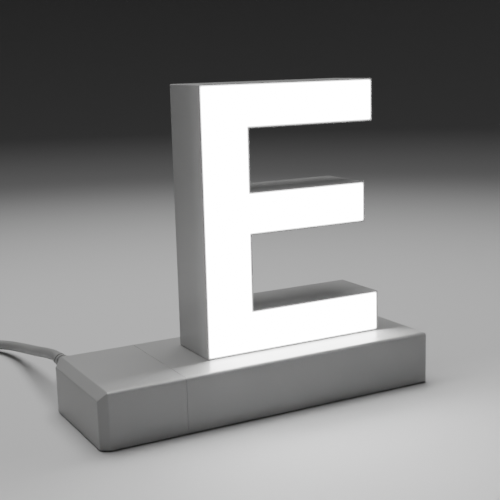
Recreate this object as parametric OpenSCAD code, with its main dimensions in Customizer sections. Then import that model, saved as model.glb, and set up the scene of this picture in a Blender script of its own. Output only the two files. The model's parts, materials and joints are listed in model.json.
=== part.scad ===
// Light-up letter E on a two-piece plinth, with its mains cord, in millimetres.
// The origin is at the middle of the plinth's footprint, on the table. The lit face looks along -Y.

/* [Letter] */
// Height of the letter
letter_h = 150; // [140:1:190]
// Depth of the letter from front to back
letter_d = 37; // [36:0.5:48]
// Width of the upright stroke
spine_w = 29.4; // [27:0.1:36]
// Height of the top and bottom arms
arm_t = 24.4; // [23:0.1:30]
// Height of the middle arm
mid_arm_t = 24; // [23:0.1:30]
// Height of the middle arm's underside above the letter's foot
mid_arm_z = 67; // [58:0.5:74]
// Length of the top arm
top_arm_len = 110.4; // [95:0.2:130]
// Length of the middle arm
mid_arm_len = 105; // [90:0.2:125]
// Length of the bottom arm
bottom_arm_len = 114.2; // [105:0.2:125]
// Wall of the letter's case
case_wall = 2; // [1.8:0.1:2.8]
// Rim of the case that shows round the lit face
rim_w = 0.7; // [0.5:0.1:1.2]
// Thickness of the opal face
face_t = 3; // [2:0.2:4]
// Depth of the face behind the rim
face_recess = 0.2; // [0:0.1:0.8]
// Thickness of the back cover
cover_t = 2; // [1.8:0.1:3]
// Rounding of the letter's corners
letter_corner_r = 0.8; // [0.3:0.1:1.5]

/* [Plinth] */
// Length of the piece that carries the letter
base_len = 157.8; // [150:0.2:190]
// Depth of the plinth
base_d = 75.2; // [72:0.2:95]
// Height of the plinth's housings
base_h = 30.8; // [30.4:0.2:40]
// Wall of the housings
wall = 2.5; // [2:0.1:3]
// Thickness of the floor plates
floor_t = 2.5; // [2.2:0.1:3.4]
// Distance from the seam to the letter's spine
letter_inset = 22.9; // [18:0.1:30]
// Distance from the plinth's front to the letter's face
letter_setback = 20.6; // [17:0.1:24]
// Rounding of the long top edges
edge_r = 1.6; // [0.8:0.1:2.4]
// Rounding of the top edge at the plain end
end_edge_r = 1.6; // [0.8:0.1:2.4]
// Rounding of the upright edges at the plain end
upright_r = 0.8; // [0.4:0.1:2]
// Bevel of the edges along the seam
seam_bevel = 0.4; // [0.2:0.05:0.8]
// Height of the feet under the housings
foot_proud = 0.6; // [0.4:0.1:2]
// Radius of the feet
foot_r = 4.4; // [3.5:0.1:5]

/* [Power block] */
// Length of the power block
end_len = 48; // [46:0.2:60]
// Chamfer of the free end, along the block
chamfer = 4.7; // [3:0.1:6]
// Chamfer of the free end's upright edges, across the block
chamfer_side = 3.8; // [3:0.1:6]
// Distance of the cord's axis from the free end
cord_inset = 10.1; // [10:0.1:14]
// Length of the strain relief outside the housing
relief_len = 22.4; // [18:0.2:30]
// Radius of the strain relief's collar
relief_r = 6; // [5:0.1:6.4]
// Length of the strain relief's collar
collar_len = 5.4; // [5:0.2:12]
// Radius of the strain relief's sleeve beside the collar
relief_sleeve_r = 4.4; // [4:0.1:5]

/* [Contacts] */
// Radius of the contact pins
pin_r = 2; // [1.5:0.1:2.2]
// Distance between the two pins
pin_pitch = 15; // [13:0.5:16]
// Length of the pins beyond the tongue
pin_len = 8; // [6:0.5:9]
// Length of the plug's tongue, along the row of pins
tongue_l = 26; // [24:0.5:27]
// Width of the plug's tongue
tongue_w = 12; // [11:0.2:13]
// Reach of the tongue out of its housing
tongue_h = 8; // [6:0.5:9]
// Clearance round the tongue in its socket
tongue_gap = 0.4; // [0.2:0.05:0.6]
// Outer radius of the contact sleeves
sleeve_r = 3; // [2.7:0.1:3.4]
// Thickness of the bus bars
bus_t = 1; // [0.6:0.1:1.4]
// Width of the bus bars
bus_w = 4; // [3:0.2:5]

/* [Lighting] */
// Light sources along the spine
spine_leds = 9; // [7:1:11]
// Light sources along each arm
arm_leds = 5; // [4:1:6]
// Radius of the lenses over the light sources
lens_r = 3.6; // [3:0.1:3.8]
// Thickness of the circuit boards
board_t = 1.6; // [1:0.2:2]
// Height of the posts under the circuit boards
post_h = 4; // [3:0.2:5]

/* [Cord] */
// Diameter of the cord
cord_d = 6.4; // [5.6:0.1:6.8]
// Turns in each layer of the coil
coil_turns = 3; // [2:1:4]
// Inner radius of the coil, to the cord's axis
coil_r = 26; // [25:0.5:30]
// Step from one turn of the coil to the next
coil_pitch = 8; // [7.8:0.1:9]
// Step from one layer of the coil to the next
coil_step = 7.4; // [7.2:0.1:8]
// Thickness of the tie round the coil
tie_t = 1; // [0.6:0.1:1.6]
// Width of the tie
tie_w = 11; // [8:0.5:16]

/* [Switch and plug] */
// Length of the in-line switch
switch_l = 54; // [48:0.5:64]
// Width of the in-line switch
switch_w = 24; // [22:0.5:30]
// Height of the in-line switch
switch_h = 15; // [14.6:0.2:18]
// Length of the rocker
rocker_l = 19.6; // [16:0.2:24]
// Width of the rocker
rocker_w = 11; // [8:0.2:13]
// Travel of the rocker in degrees
rocker_travel = 14; // [10:1:16]
// Length of the mains plug's body
plug_l = 36; // [32:0.5:42]
// Width of the mains plug's face
plug_w = 35.3; // [30:0.1:37]
// Thickness of the mains plug's body
plug_t = 13.7; // [13:0.1:15]

/* [Fasteners and fits] */
// Radius of the screws' shanks
screw_r = 1.25; // [1:0.05:1.4]
// Radius of the countersunk heads
head_r = 2.4; // [2.1:0.1:2.6]
// Height of the countersunk heads
head_t = 1.3; // [1:0.1:1.5]
// Radius of the screw bosses
boss_r = 3; // [2.6:0.1:3.2]
// Radial clearance of pins, screws and sleeves
fit_gap = 0.05; // [0.02:0.01:0.08]
// Clearance round plates that drop into a housing
plate_gap = 0.1; // [0.05:0.05:0.2]

/* [Hidden] */
$fn = 48;

// Overshoot of cutting shapes, and overlap of shapes that form one piece
cut = 1;
merge = 0.01;

// Planes of the plinth
x_left = -(base_len + end_len) / 2;
x_seam = x_left + end_len;
x_right = x_seam + base_len;
y_back = base_d / 2;
y_front = -y_back;
z_under = foot_proud;
z_top = z_under + base_h;
z_floor = z_under + floor_t;
z_ceiling = z_top - wall;
y_inner = y_back - wall;

// Place of the letter, and planes across its depth from its front
letter_x = x_seam + letter_inset;
letter_y = y_front + letter_setback;
letter_z = z_top;
ledge_y = face_recess + face_t;
cover_y = letter_d - cover_t;
board_back_y = cover_y - post_h;
board_y = board_back_y - board_t;
back_rim = 1;

// Screw bosses and light board inside the letter
boss_sink = 0.8;
boss_inset = case_wall + boss_r - boss_sink;
boss_len = 12;
board_gap = 0.8;
board_inset = boss_inset + boss_r + board_gap;
small_screw_r = 1;
small_head_r = 2;
small_head_t = 1.2;
post_r = 2.5;
chip_w = 3.5;
chip_t = 0.8;
spine_pitch = (letter_h - arm_t) / (spine_leds - 1);
arm_rows = [[top_arm_len, letter_h - arm_t / 2],
    [mid_arm_len, mid_arm_z + mid_arm_t / 2],
    [bottom_arm_len, arm_t / 2]];
wire_r = 0.8;
wire_spread = 2.2;

// Shared sizes of the screws: their recess, and how far an end stays behind a flange's surface
recess_w = 0.6;
recess_share = 0.6;
screw_short = 0.4;

// Plug and socket sizes, measured from the plane where the two housings meet
plug_x = letter_x + spine_w / 2 + 2.5 * arm_pitch(bottom_arm_len);
plug_y = letter_y + letter_d / 2;
flange_t = 3;
flange_lip = 8;
flange_side = 0.8;
flange_screw = 4.2;
pin_collar_r = pin_r + 1;
pin_collar_t = 1;
pin_tail = 1.5;
pin_tip = 1;
pin_end_gap = 1.2;
sleeve_top = tongue_h + tongue_gap;
sleeve_end = sleeve_top + pin_len + pin_end_gap;
sleeve_tail = 1.6;
socket_wall = 2.2;
socket_half = tongue_w / 2 + tongue_gap + socket_wall;
socket_l = max(tongue_l, pin_pitch + 2 * sleeve_r) + 2 * tongue_gap + 2 * socket_wall;
sleeve_back = 0.4;
socket_end = sleeve_end + sleeve_back;
link_z = z_floor + socket_half;
bus_top = link_z + bus_t / 2;

// Floor screws, feet and what stands on the floor plates
floor_boss_r = 3.5;
floor_boss_sink = 0.5;
floor_boss_y = y_inner - floor_boss_r + floor_boss_sink;
floor_boss_h = 12;
floor_screw_len = 9;
floor_screw_inset = 9;
end_screw_inset = 12;
base_screw_x = [x_seam + floor_screw_inset, x_right - floor_screw_inset];
end_screw_x = [x_left + end_screw_inset, x_seam - floor_screw_inset];
foot_sink = 0.9;
foot_y = floor_boss_y - floor_boss_r - foot_r;
foot_inset = 14;
base_foot_x = [x_seam + foot_inset, x_right - foot_inset];
end_foot_x = [x_left + foot_inset, x_seam - foot_inset];
socket_post = [4, 6];
stop_rib_t = 2;

// Power block's inside
cavity_chamfer = 2;
driver_gap = [3.5, 0.6];
driver_room = 5.5;
driver_x0 = x_left + wall + driver_gap[0];
driver_x1 = x_seam - wall - flange_t - pin_collar_t - pin_tail - driver_room;
driver_y = floor_boss_y - floor_boss_r - driver_gap[1];
driver_z = z_floor + post_h + board_t;
driver_hole = 4;
terminal_size = [8, 9, 9];
terminal_hole = [2.4, 4, 2.4];
terminal_y = 10;
transformer_size = [14, 20, 14];
transformer_y = -10;
winding_size = [15, 11, 11];
capacitor_r = 3.5;
capacitor_h = 12;
capacitor_y = [-6, -15];
part_gap = 0.4;
rectifier_size = [5, 12, 8];
rectifier_y = driver_y - 2 * driver_hole - rectifier_size[1];
clamp_inset = 11;
clamp_y = y_inner - clamp_inset;
clamp_t = 3;
clamp_w = 7;
clamp_boss_r = 1.8;
clamp_gap = 0.3;
clamp_screw_x = cord_d / 2 + clamp_gap + clamp_boss_r;
clamp_screw_bite = 4;
tail_len = 17;
tail_y = y_inner - tail_len;
wire_bend = 1;
core_r = 1.1;
core_spread = 1.5;
core_bend = 2;

// Strain relief
neck_step = 1.9;
neck_r = relief_r - neck_step;
collar_edge = 0.8;
neck_flange_r = relief_r - collar_edge;
neck_flange_t = 2;
relief_wall = 0.4;
relief_tip_r = cord_d / 2 + relief_wall;
relief_ribs = 4;
rib_groove = 0.4;
rib_share = 0.7;

// Route of the free cord: steps across and back from the strain relief's tip, and height above the table
cord_r = cord_d / 2;
cord_points = [[0, 0, 23.6], [0, 4, 23.6], [0, 18, 21.7], [0, 30, 19.5], [0, 48, 15.9], [0, 66, 12.6],
    [-0.8, 84, 9.5], [-3, 100, 7.1], [-7.6, 113, 5.4], [-14, 124, 4.2], [-22, 132, 3.7], [-31, 137, 4.2],
    [-38.5, 138.8, 5.6], [-45, 139, 7], [-51, 139, 7]];
cord_start = cord_points[0];
cord_end = cord_points[len(cord_points) - 1];
cord_x = x_left + cord_inset;
cord_y = y_back + relief_len;
cord_z = cord_start[2];
cord_sides = 8;

// In-line switch at the end of the lead
switch_split = cord_end[2];
switch_x = cord_end[0] - switch_l / 2;
switch_y = cord_end[1];
switch_wall = 2;
switch_corner = 7;
switch_edge = 2.4;
pivot_drop = 2.4;
pivot_z = switch_h - pivot_drop;
pivot_r = 1.2;
rocker_gap = 0.8;
rocker_side_gap = 0.3;
rocker_crown = 3.6;
rocker_dip = 2.2;
rocker_skirt = 1.2;
rocker_keel = 4.2;
rocker_keel_w = 3.5;
ear_t = 2.5;
switch_screw_inset = 8;
switch_screw_x = switch_l / 2 - switch_screw_inset;
switch_screw_bite = 3;
switch_boss_r = 2.6;
contact_size = [10, 4, 1.6];
contact_x = 8;

// Coil of the cord that is put away
coil_out = coil_r + coil_turns * coil_pitch;
tie_lift = 0.4;
tie_gap = 0.5;
tie_corner = 1.5;
coil_z = cord_r + tie_t + tie_lift;
coil_top = coil_z + coil_step;
coil_run_in = 30;
coil_x = switch_x - switch_l / 2 - coil_run_in;
coil_y = switch_y - coil_out;
coil_rings = 24;
coil_sides = 6;
layer_rings = coil_rings * coil_turns;
climb_rings = coil_rings / 2;
tail_bend = 30;
tail_rings = 6;
plug_axis = plug_t / 2;
tail_run = cord_d;
plug_at = [coil_x + tail_run + tail_bend, coil_y - coil_out - tail_bend - tail_run];

// Mains plug
plug_neck = 5.5;
plug_grip = 9;
plug_shoulder = 11;
plug_waist = 12.7;
plug_rim = 6;
prong_pitch = 18.6;
prong_r = 2;
prong_core_r = 1.3;
prong_sleeve_r = 1.7;
prong_sleeve_l = 10;
prong_l = 19;
prong_in = 8;

function unit(v) = v / norm(v);
function ease(t) = t * t * (3 - 2 * t);
function arm_pitch(length) = (length - spine_w / 2 - arm_t / 2) / arm_leds;

// Outline of the letter, drawn in by a distance all round
function letter_outline(i) = [[i, i], [bottom_arm_len - i, i], [bottom_arm_len - i, arm_t - i],
    [spine_w - i, arm_t - i], [spine_w - i, mid_arm_z + i], [mid_arm_len - i, mid_arm_z + i],
    [mid_arm_len - i, mid_arm_z + mid_arm_t - i], [spine_w - i, mid_arm_z + mid_arm_t - i],
    [spine_w - i, letter_h - arm_t + i], [top_arm_len - i, letter_h - arm_t + i],
    [top_arm_len - i, letter_h - i], [i, letter_h - i]];

// Outline with each right-angled corner turned into an arc
function rounded(points, r, steps = 5) =
    let (n = len(points))
    [for (k = [0 : n - 1])
        let (b = points[k], u = unit(points[(k + n - 1) % n] - b), v = unit(points[(k + 1) % n] - b))
        for (s = [0 : steps])
            b + r * (u + v) - r * (v * cos(90 * s / steps) + u * sin(90 * s / steps))];

// Places of the light sources and screws, as [x, z] on the letter
function led_places() = concat(
    [for (k = [0 : spine_leds - 1]) [spine_w / 2, arm_t / 2 + k * spine_pitch]],
    [for (row = arm_rows, k = [1 : arm_leds]) [spine_w / 2 + k * arm_pitch(row[0]), row[1]]]);
function board_screw_places() = concat(
    [for (k = [1.5, spine_leds - 2.5]) [spine_w / 2, arm_t / 2 + k * spine_pitch]],
    [for (row = arm_rows) [spine_w / 2 + (arm_leds - 1.5) * arm_pitch(row[0]), row[1]]]);
function back_screw_places() = [[boss_inset, boss_inset], [bottom_arm_len - boss_inset, boss_inset],
    [mid_arm_len - boss_inset, mid_arm_z + mid_arm_t - boss_inset],
    [top_arm_len - boss_inset, letter_h - boss_inset], [boss_inset, letter_h - boss_inset]];

// Rings and faces of a round tube along a path
function tangent(path, k) = unit(path[min(k + 1, len(path) - 1)] - path[max(k - 1, 0)]);
function ring(path, k, r, sides) =
    let (t = tangent(path, k), side = unit(cross(t, [0, 0, 1])), up = cross(side, t))
    [for (j = [0 : sides - 1]) path[k] + r * (cos(360 * j / sides) * side + sin(360 * j / sides) * up)];
function tube_faces(rings, sides) = concat(
    [for (k = [0 : rings - 2], j = [0 : sides - 1])
        each [[k * sides + j, k * sides + (j + 1) % sides, (k + 1) * sides + j],
            [(k + 1) * sides + j, k * sides + (j + 1) % sides, (k + 1) * sides + (j + 1) % sides]]],
    [for (j = [1 : sides - 2]) [0, j + 1, j]],
    [for (j = [1 : sides - 2]) let (o = (rings - 1) * sides) [o, o + j, o + j + 1]]);

// Coil: a spiral in on the table, half a turn that climbs, and a spiral out on top
function coil_point(k) =
    let (turn = k / coil_rings, angle = 90 + 360 * turn, climb = (k - layer_rings) / climb_rings,
        r = k < layer_rings ? coil_out - coil_pitch * turn
            : climb < 1 ? coil_r
            : coil_r + coil_pitch * (k - layer_rings - climb_rings) / coil_rings,
        z = coil_z + coil_step * ease(max(0, min(1, climb))))
    [coil_x + r * cos(angle), coil_y + r * sin(angle), z];
function tail_point(s) =
    [coil_x + tail_run + tail_bend * sin(90 * s), coil_y - coil_out - tail_bend + tail_bend * cos(90 * s),
        coil_top + (plug_axis - coil_top) * ease(s)];
coil_path = concat(
    [[coil_x + coil_run_in, switch_y, switch_split], [coil_x + coil_run_in - cord_d, switch_y, switch_split],
        [coil_x + coil_run_in / 3, switch_y, (switch_split + coil_z) / 2]],
    [for (k = [0 : 2 * layer_rings + climb_rings]) coil_point(k)],
    [for (s = [0 : tail_rings]) tail_point(s / tail_rings)],
    [[plug_at[0], plug_at[1], plug_axis]]);
coil_gap = min([for (a = [0 : len(coil_path) - 1], b = [a + 1 : 1 : len(coil_path) - 1])
    if (b - a > climb_rings / 2) norm(coil_path[a] - coil_path[b])]) - cord_d;
coil_length = [for (k = [1 : len(coil_path) - 1]) norm(coil_path[k] - coil_path[k - 1])];
lead_length = [for (k = [1 : len(cord_points) - 1]) norm(cord_points[k] - cord_points[k - 1])];
unit_row = [for (k = [1 : len(coil_length)]) 1];
lead_row = [for (k = [1 : len(lead_length)]) 1];
echo(coil_gap = coil_gap, coil_length = coil_length * unit_row, lead_length = lead_length * lead_row);

// Shared shapes
module tube(path, r, sides) {
    points = [for (k = [0 : len(path) - 1]) each ring(path, k, r, sides)];
    polyhedron(points, tube_faces(len(path), sides));
}

module wire(path, r) {
    for (k = [1 : len(path) - 1]) {
        step = path[k] - path[k - 1];
        turn = acos(step[2] / norm(step));
        translate(path[k - 1])
            rotate([0, turn, atan2(step[1], step[0])])
                cylinder(h = norm(step), r = r);
        if (k < len(path) - 1)
            translate(path[k]) sphere(r);
    }
}

module block(low, high) {
    translate(low) cube(high - low);
}

module letter_slab(inset, from, to, r) {
    translate([letter_x, letter_y + to, letter_z])
        rotate([90, 0, 0])
            linear_extrude(to - from)
                polygon(rounded(letter_outline(inset), r));
}

// Puts children at places on the letter, with their +Z pointing out of its back
module on_letter(places, y) {
    for (p = places)
        translate([letter_x + p[0], letter_y + y, letter_z + p[1]])
            rotate([-90, 0, 0]) children();
}

// Countersunk screw with its head's flat at zero and its shank along -Z
module screw_body(length, gap = 0) {
    translate([0, 0, -head_t]) cylinder(h = head_t, r1 = screw_r + gap, r2 = head_r + gap);
    translate([0, 0, -length]) cylinder(h = length - head_t + merge, r = screw_r + gap);
}

module cross_recess(r, depth) {
    for (a = [0, 90])
        rotate(a) translate([-r, -recess_w / 2, -depth]) cube([2 * r, recess_w, depth + cut]);
}

module countersunk(length) {
    difference() {
        screw_body(length);
        cross_recess(head_r * recess_share, head_t * recess_share);
    }
}

module countersunk_hole(length) {
    screw_body(length, fit_gap);
    cylinder(h = cut, r = head_r + fit_gap);
}

module pan_screw(length) {
    difference() {
        union() {
            cylinder(h = small_head_t, r = small_head_r);
            translate([0, 0, -length]) cylinder(h = length + merge, r = small_screw_r);
        }
        translate([0, 0, small_head_t])
            cross_recess(small_head_r * recess_share, small_head_t * recess_share);
    }
}

// Corner of a flat outline that an arc takes away, for a corner at the origin of the first quadrant
module corner_waste(r) {
    difference() {
        translate([-cut, -cut]) square(r + cut);
        translate([r, r]) circle(r);
    }
}

// Cross-section of the plinth with its long top edges rounded, swept along X
module plinth_section(x0, x1) {
    translate([x0, 0, 0])
        rotate([90, 0, 90])
            linear_extrude(x1 - x0)
                difference() {
                    translate([y_front, z_under]) square([base_d, base_h]);
                    translate([y_front, z_top]) mirror([0, 1]) corner_waste(edge_r);
                    translate([y_back, z_top]) rotate(180) corner_waste(edge_r);
                }
}

// Local frames of the two plug-in joints: the plug lies towards +Z, its pins in a row along Y
module at_letter_plug() {
    translate([plug_x, plug_y, z_top]) children();
}

module at_link() {
    translate([x_seam, plug_y, link_z]) rotate([0, -90, 0]) children();
}

module each_pin() {
    for (s = [-1, 1])
        translate([0, s * pin_pitch / 2, 0]) children();
}

module tongue_cut(gap, from, to) {
    block([-tongue_w / 2 - gap, -tongue_l / 2 - gap, from], [tongue_w / 2 + gap, tongue_l / 2 + gap, to]);
}

module plug_part(wall_t, half_x, half_y, screws) {
    difference() {
        union() {
            tongue_cut(0, -tongue_h, wall_t + cut / 2);
            block([-half_x, -half_y, wall_t], [half_x, half_y, wall_t + flange_t]);
        }
        each_pin() translate([0, 0, -tongue_h - cut])
            cylinder(h = tongue_h + wall_t + flange_t + 2 * cut, r = pin_r + fit_gap);
        for (p = screws)
            translate([p[0], p[1], wall_t - cut]) cylinder(h = flange_t + 2 * cut, r = screw_r + fit_gap);
    }
}

module pin_pair(wall_t) {
    top = wall_t + flange_t;
    each_pin() {
        translate([0, 0, -tongue_h - pin_len + pin_tip])
            cylinder(h = tongue_h + pin_len - pin_tip + top + pin_collar_t + pin_tail, r = pin_r);
        translate([0, 0, -tongue_h - pin_len]) cylinder(h = pin_tip, r1 = pin_r - pin_tip / 2, r2 = pin_r);
        translate([0, 0, top]) cylinder(h = pin_collar_t, r = pin_collar_r);
    }
}

module socket_part() {
    difference() {
        block([-socket_half, -socket_l / 2, -socket_end], [socket_half, socket_l / 2, -wall]);
        tongue_cut(tongue_gap, -sleeve_top, 0);
        each_pin() translate([0, 0, -socket_end - cut])
            cylinder(h = socket_end, r = sleeve_r + fit_gap);
    }
}

module sleeve_pair(end) {
    each_pin() difference() {
        translate([0, 0, -end]) cylinder(h = end - sleeve_top, r = sleeve_r);
        translate([0, 0, -sleeve_end]) cylinder(h = sleeve_end, r = pin_r + fit_gap);
    }
}

// Screws of the two plugs, as [x, y] in their local frames
letter_plug_screws = [[-tongue_w / 2 - flange_screw, 0], [tongue_w / 2 + flange_screw, 0]];
link_plug_screws = [[0, -tongue_l / 2 - flange_screw], [0, tongue_l / 2 + flange_screw]];

// Letter
module letter_case() color("whitesmoke") {
    difference() {
        union() {
            difference() {
                letter_slab(0, 0, letter_d, letter_corner_r);
                letter_slab(case_wall, -cut, letter_d + cut, letter_corner_r);
            }
            intersection() {
                letter_slab(case_wall / 2, 0, letter_d, letter_corner_r);
                on_letter(back_screw_places(), cover_y - boss_len) cylinder(h = boss_len, r = boss_r);
            }
        }
        letter_slab(rim_w, -cut, ledge_y, letter_corner_r);
        letter_slab(back_rim, cover_y, letter_d + cut, letter_corner_r);
        on_letter(back_screw_places(), cover_y - boss_len + cut)
            cylinder(h = boss_len, r = screw_r + fit_gap);
        at_letter_plug() {
            tongue_cut(plate_gap, -cut, case_wall + cut);
            for (p = letter_plug_screws)
                translate([p[0], p[1], 0]) mirror([0, 0, 1]) countersunk_hole(case_wall + cut);
        }
    }
}

module face_diffuser() color("white")
    letter_slab(rim_w + plate_gap, face_recess, ledge_y, letter_corner_r);

module letter_back() color("whitesmoke") {
    difference() {
        union() {
            letter_slab(back_rim + plate_gap, cover_y, letter_d, letter_corner_r);
            on_letter(board_screw_places(), board_back_y) cylinder(h = post_h + cut / 2, r = post_r);
        }
        on_letter(back_screw_places(), letter_d) countersunk_hole(cover_t + cut);
        on_letter(board_screw_places(), board_back_y - cut)
            cylinder(h = post_h + cut, r = small_screw_r + fit_gap);
    }
}

module back_screws() color("silver")
    on_letter(back_screw_places(), letter_d) countersunk(boss_len - 2 * cut);

module led_board() color("mintcream") {
    difference() {
        letter_slab(board_inset, board_y, board_back_y, letter_corner_r);
        on_letter(board_screw_places(), board_y - cut)
            cylinder(h = board_t + 2 * cut, r = small_screw_r + fit_gap);
    }
}

module chip(grow) {
    translate([-chip_w / 2 - grow, -chip_w / 2 - grow, -chip_t - grow])
        cube([chip_w + 2 * grow, chip_w + 2 * grow, chip_t + grow]);
}

module led_chips() color("khaki")
    on_letter(led_places(), board_y) chip(0);

module led_lenses() color("lightcyan")
    on_letter(led_places(), board_y)
        difference() {
            sphere(lens_r);
            translate([0, 0, lens_r]) cube(2 * lens_r, center = true);
            chip(plate_gap);
            translate([0, 0, -cut]) chip(0);
        }

module board_screws() color("silver")
    on_letter(board_screw_places(), board_y) mirror([0, 0, 1]) pan_screw(board_t + post_h - cut);

module letter_wires() color("firebrick") {
    pad_z = arm_t / 2;
    pin_top = case_wall + flange_t + pin_collar_t + pin_tail;
    bend_z = (pin_top + pad_z) / 2;
    for (s = [-1, 1]) {
        y = plug_y + s * pin_pitch / 2;
        x = plug_x + s * wire_spread;
        wire([[plug_x, y, letter_z + pin_top], [plug_x, y, letter_z + bend_z], [x, y, letter_z + pad_z],
            [x, letter_y + board_y, letter_z + pad_z]], wire_r);
    }
}

module letter_plug() color("gainsboro")
    at_letter_plug()
        plug_part(case_wall, tongue_w / 2 + flange_lip, tongue_l / 2 + flange_side, letter_plug_screws);

module letter_pins() color("goldenrod")
    at_letter_plug() pin_pair(case_wall);

module plug_screws() color("silver")
    at_letter_plug()
        for (p = letter_plug_screws)
            translate([p[0], p[1], 0]) mirror([0, 0, 1]) countersunk(case_wall + flange_t - screw_short);

// Plinth
module base_solid() {
    intersection() {
        plinth_section(x_seam, x_right);
        translate([0, y_back, 0]) rotate([90, 0, 0]) linear_extrude(base_d)
            difference() {
                polygon([[x_seam, z_under], [x_right, z_under], [x_right, z_top],
                    [x_seam + seam_bevel, z_top], [x_seam, z_top - seam_bevel]]);
                translate([x_right, z_top]) rotate(180) corner_waste(end_edge_r);
            }
        translate([0, 0, z_under]) linear_extrude(base_h)
            difference() {
                polygon([[x_seam + seam_bevel, y_front], [x_right, y_front],
                    [x_right, y_back], [x_seam + seam_bevel, y_back],
                    [x_seam, y_back - seam_bevel], [x_seam, y_front + seam_bevel]]);
                translate([x_right, y_front]) mirror([1, 0]) corner_waste(upright_r);
                translate([x_right, y_back]) rotate(180) corner_waste(upright_r);
            }
    }
}

module floor_bosses(xs) {
    for (x = xs, s = [-1, 1])
        translate([x, s * floor_boss_y, z_floor]) cylinder(h = floor_boss_h, r = floor_boss_r);
}

module floor_boss_holes(xs) {
    for (x = xs, s = [-1, 1])
        translate([x, s * floor_boss_y, z_floor - cut]) cylinder(h = floor_boss_h, r = screw_r + fit_gap);
}

module at_floor_screws(xs) {
    for (x = xs, s = [-1, 1])
        translate([x, s * floor_boss_y, z_under]) mirror([0, 0, 1]) children();
}

module foot_pockets(xs) {
    for (x = xs, s = [-1, 1])
        translate([x, s * foot_y, z_under - cut]) cylinder(h = foot_sink + cut, r = foot_r + plate_gap);
}

module feet(xs) {
    edge = foot_proud / 2;
    height = foot_proud + foot_sink;
    for (x = xs, s = [-1, 1])
        translate([x, s * foot_y, 0])
            rotate_extrude()
                polygon([[0, 0], [foot_r - edge, 0], [foot_r, edge], [foot_r, height], [0, height]]);
}

module base_housing() color("whitesmoke") {
    difference() {
        base_solid();
        difference() {
            block([x_seam + wall, -y_inner, z_under - cut], [x_right - wall, y_inner, z_ceiling]);
            floor_bosses(base_screw_x);
        }
        floor_boss_holes(base_screw_x);
        at_letter_plug() tongue_cut(tongue_gap, -wall - cut, cut);
        at_link() tongue_cut(tongue_gap, -wall - cut, cut);
    }
}

module base_floor() color("gainsboro") {
    difference() {
        union() {
            block([x_seam + wall + plate_gap, plate_gap - y_inner, z_under],
                [x_right - wall - plate_gap, y_inner - plate_gap, z_floor]);
            for (s = [-1, 1])
                translate([plug_x + (s - 0.5) * socket_post[0], plug_y - socket_post[1] / 2, z_floor])
                    cube([socket_post[0], socket_post[1], z_top - socket_end - z_floor]);
            block([x_seam + socket_end, plug_y - socket_post[1] / 2, z_floor],
                [x_seam + socket_end + stop_rib_t, plug_y + socket_post[1] / 2, link_z]);
        }
        at_floor_screws(base_screw_x) countersunk_hole(floor_t + cut);
        foot_pockets(base_foot_x);
    }
}

module base_screws() color("silver")
    at_floor_screws(base_screw_x) countersunk(floor_screw_len);

module base_feet() color("dimgray")
    feet(base_foot_x);

module letter_socket() color("gainsboro")
    at_letter_plug() socket_part();

module letter_sleeves() color("goldenrod")
    at_letter_plug() sleeve_pair(z_top - bus_top);

module link_socket() color("gainsboro")
    at_link() socket_part();

module link_sleeves() color("goldenrod")
    at_link() sleeve_pair(sleeve_end + sleeve_tail);

module bus_bars() color("peru") {
    x0 = x_seam + sleeve_end + sleeve_tail;
    for (s = [-1, 1])
        translate([x0, plug_y + s * pin_pitch / 2 - bus_w / 2, bus_top - bus_t])
            cube([plug_x + sleeve_r - x0, bus_w, bus_t]);
}

// Power block
module end_solid() {
    intersection() {
        plinth_section(x_left, x_seam);
        translate([0, y_back, 0]) rotate([90, 0, 0]) linear_extrude(base_d)
            polygon([[x_left, z_under], [x_seam, z_under], [x_seam, z_top - seam_bevel],
                [x_seam - seam_bevel, z_top], [x_left + chamfer, z_top], [x_left, z_top - chamfer]]);
        translate([0, 0, z_under]) linear_extrude(base_h)
            polygon([[x_left, y_front + chamfer_side], [x_left + chamfer, y_front],
                [x_seam - seam_bevel, y_front], [x_seam, y_front + seam_bevel],
                [x_seam, y_back - seam_bevel], [x_seam - seam_bevel, y_back],
                [x_left + chamfer, y_back], [x_left, y_back - chamfer_side]]);
    }
}

// Inside of the power block, with its corners cut to follow the chamfers
module end_cavity(low, gap = 0) {
    x0 = x_left + wall + gap;
    x1 = x_seam - wall - gap;
    y = y_inner - gap;
    intersection() {
        translate([0, 0, low]) linear_extrude(z_ceiling - low)
            polygon([[x0, cavity_chamfer - y], [x0 + cavity_chamfer, -y], [x1, -y], [x1, y],
                [x0 + cavity_chamfer, y], [x0, y - cavity_chamfer]]);
        translate([0, y, 0]) rotate([90, 0, 0]) linear_extrude(2 * y)
            polygon([[x0, low], [x1, low], [x1, z_ceiling], [x0 + cavity_chamfer, z_ceiling],
                [x0, z_ceiling - cavity_chamfer]]);
    }
}

module at_clamp_screws() {
    for (s = [-1, 1])
        translate([cord_x + s * clamp_screw_x, clamp_y, cord_z - cord_r]) children();
}

module end_housing() color("whitesmoke") {
    difference() {
        end_solid();
        difference() {
            end_cavity(z_under - cut);
            floor_bosses(end_screw_x);
            at_clamp_screws() cylinder(h = base_h, r = clamp_boss_r);
        }
        floor_boss_holes(end_screw_x);
        at_clamp_screws() translate([0, 0, -cut])
            cylinder(h = z_top - wall - cord_z + cord_r + cut, r = small_screw_r + fit_gap);
        at_link() {
            tongue_cut(plate_gap, -cut, wall + cut);
            for (p = link_plug_screws)
                translate([p[0], p[1], 0]) mirror([0, 0, 1]) countersunk_hole(wall + cut);
        }
        translate([cord_x, y_inner - cut, cord_z]) rotate([-90, 0, 0])
            cylinder(h = wall + 2 * cut, r = neck_r + fit_gap);
    }
}

module at_driver_screws() {
    for (x = [driver_x0 + driver_hole, driver_x1 - driver_hole], s = [-1, 1])
        translate([x, s * (driver_y - driver_hole), driver_z]) children();
}

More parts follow.
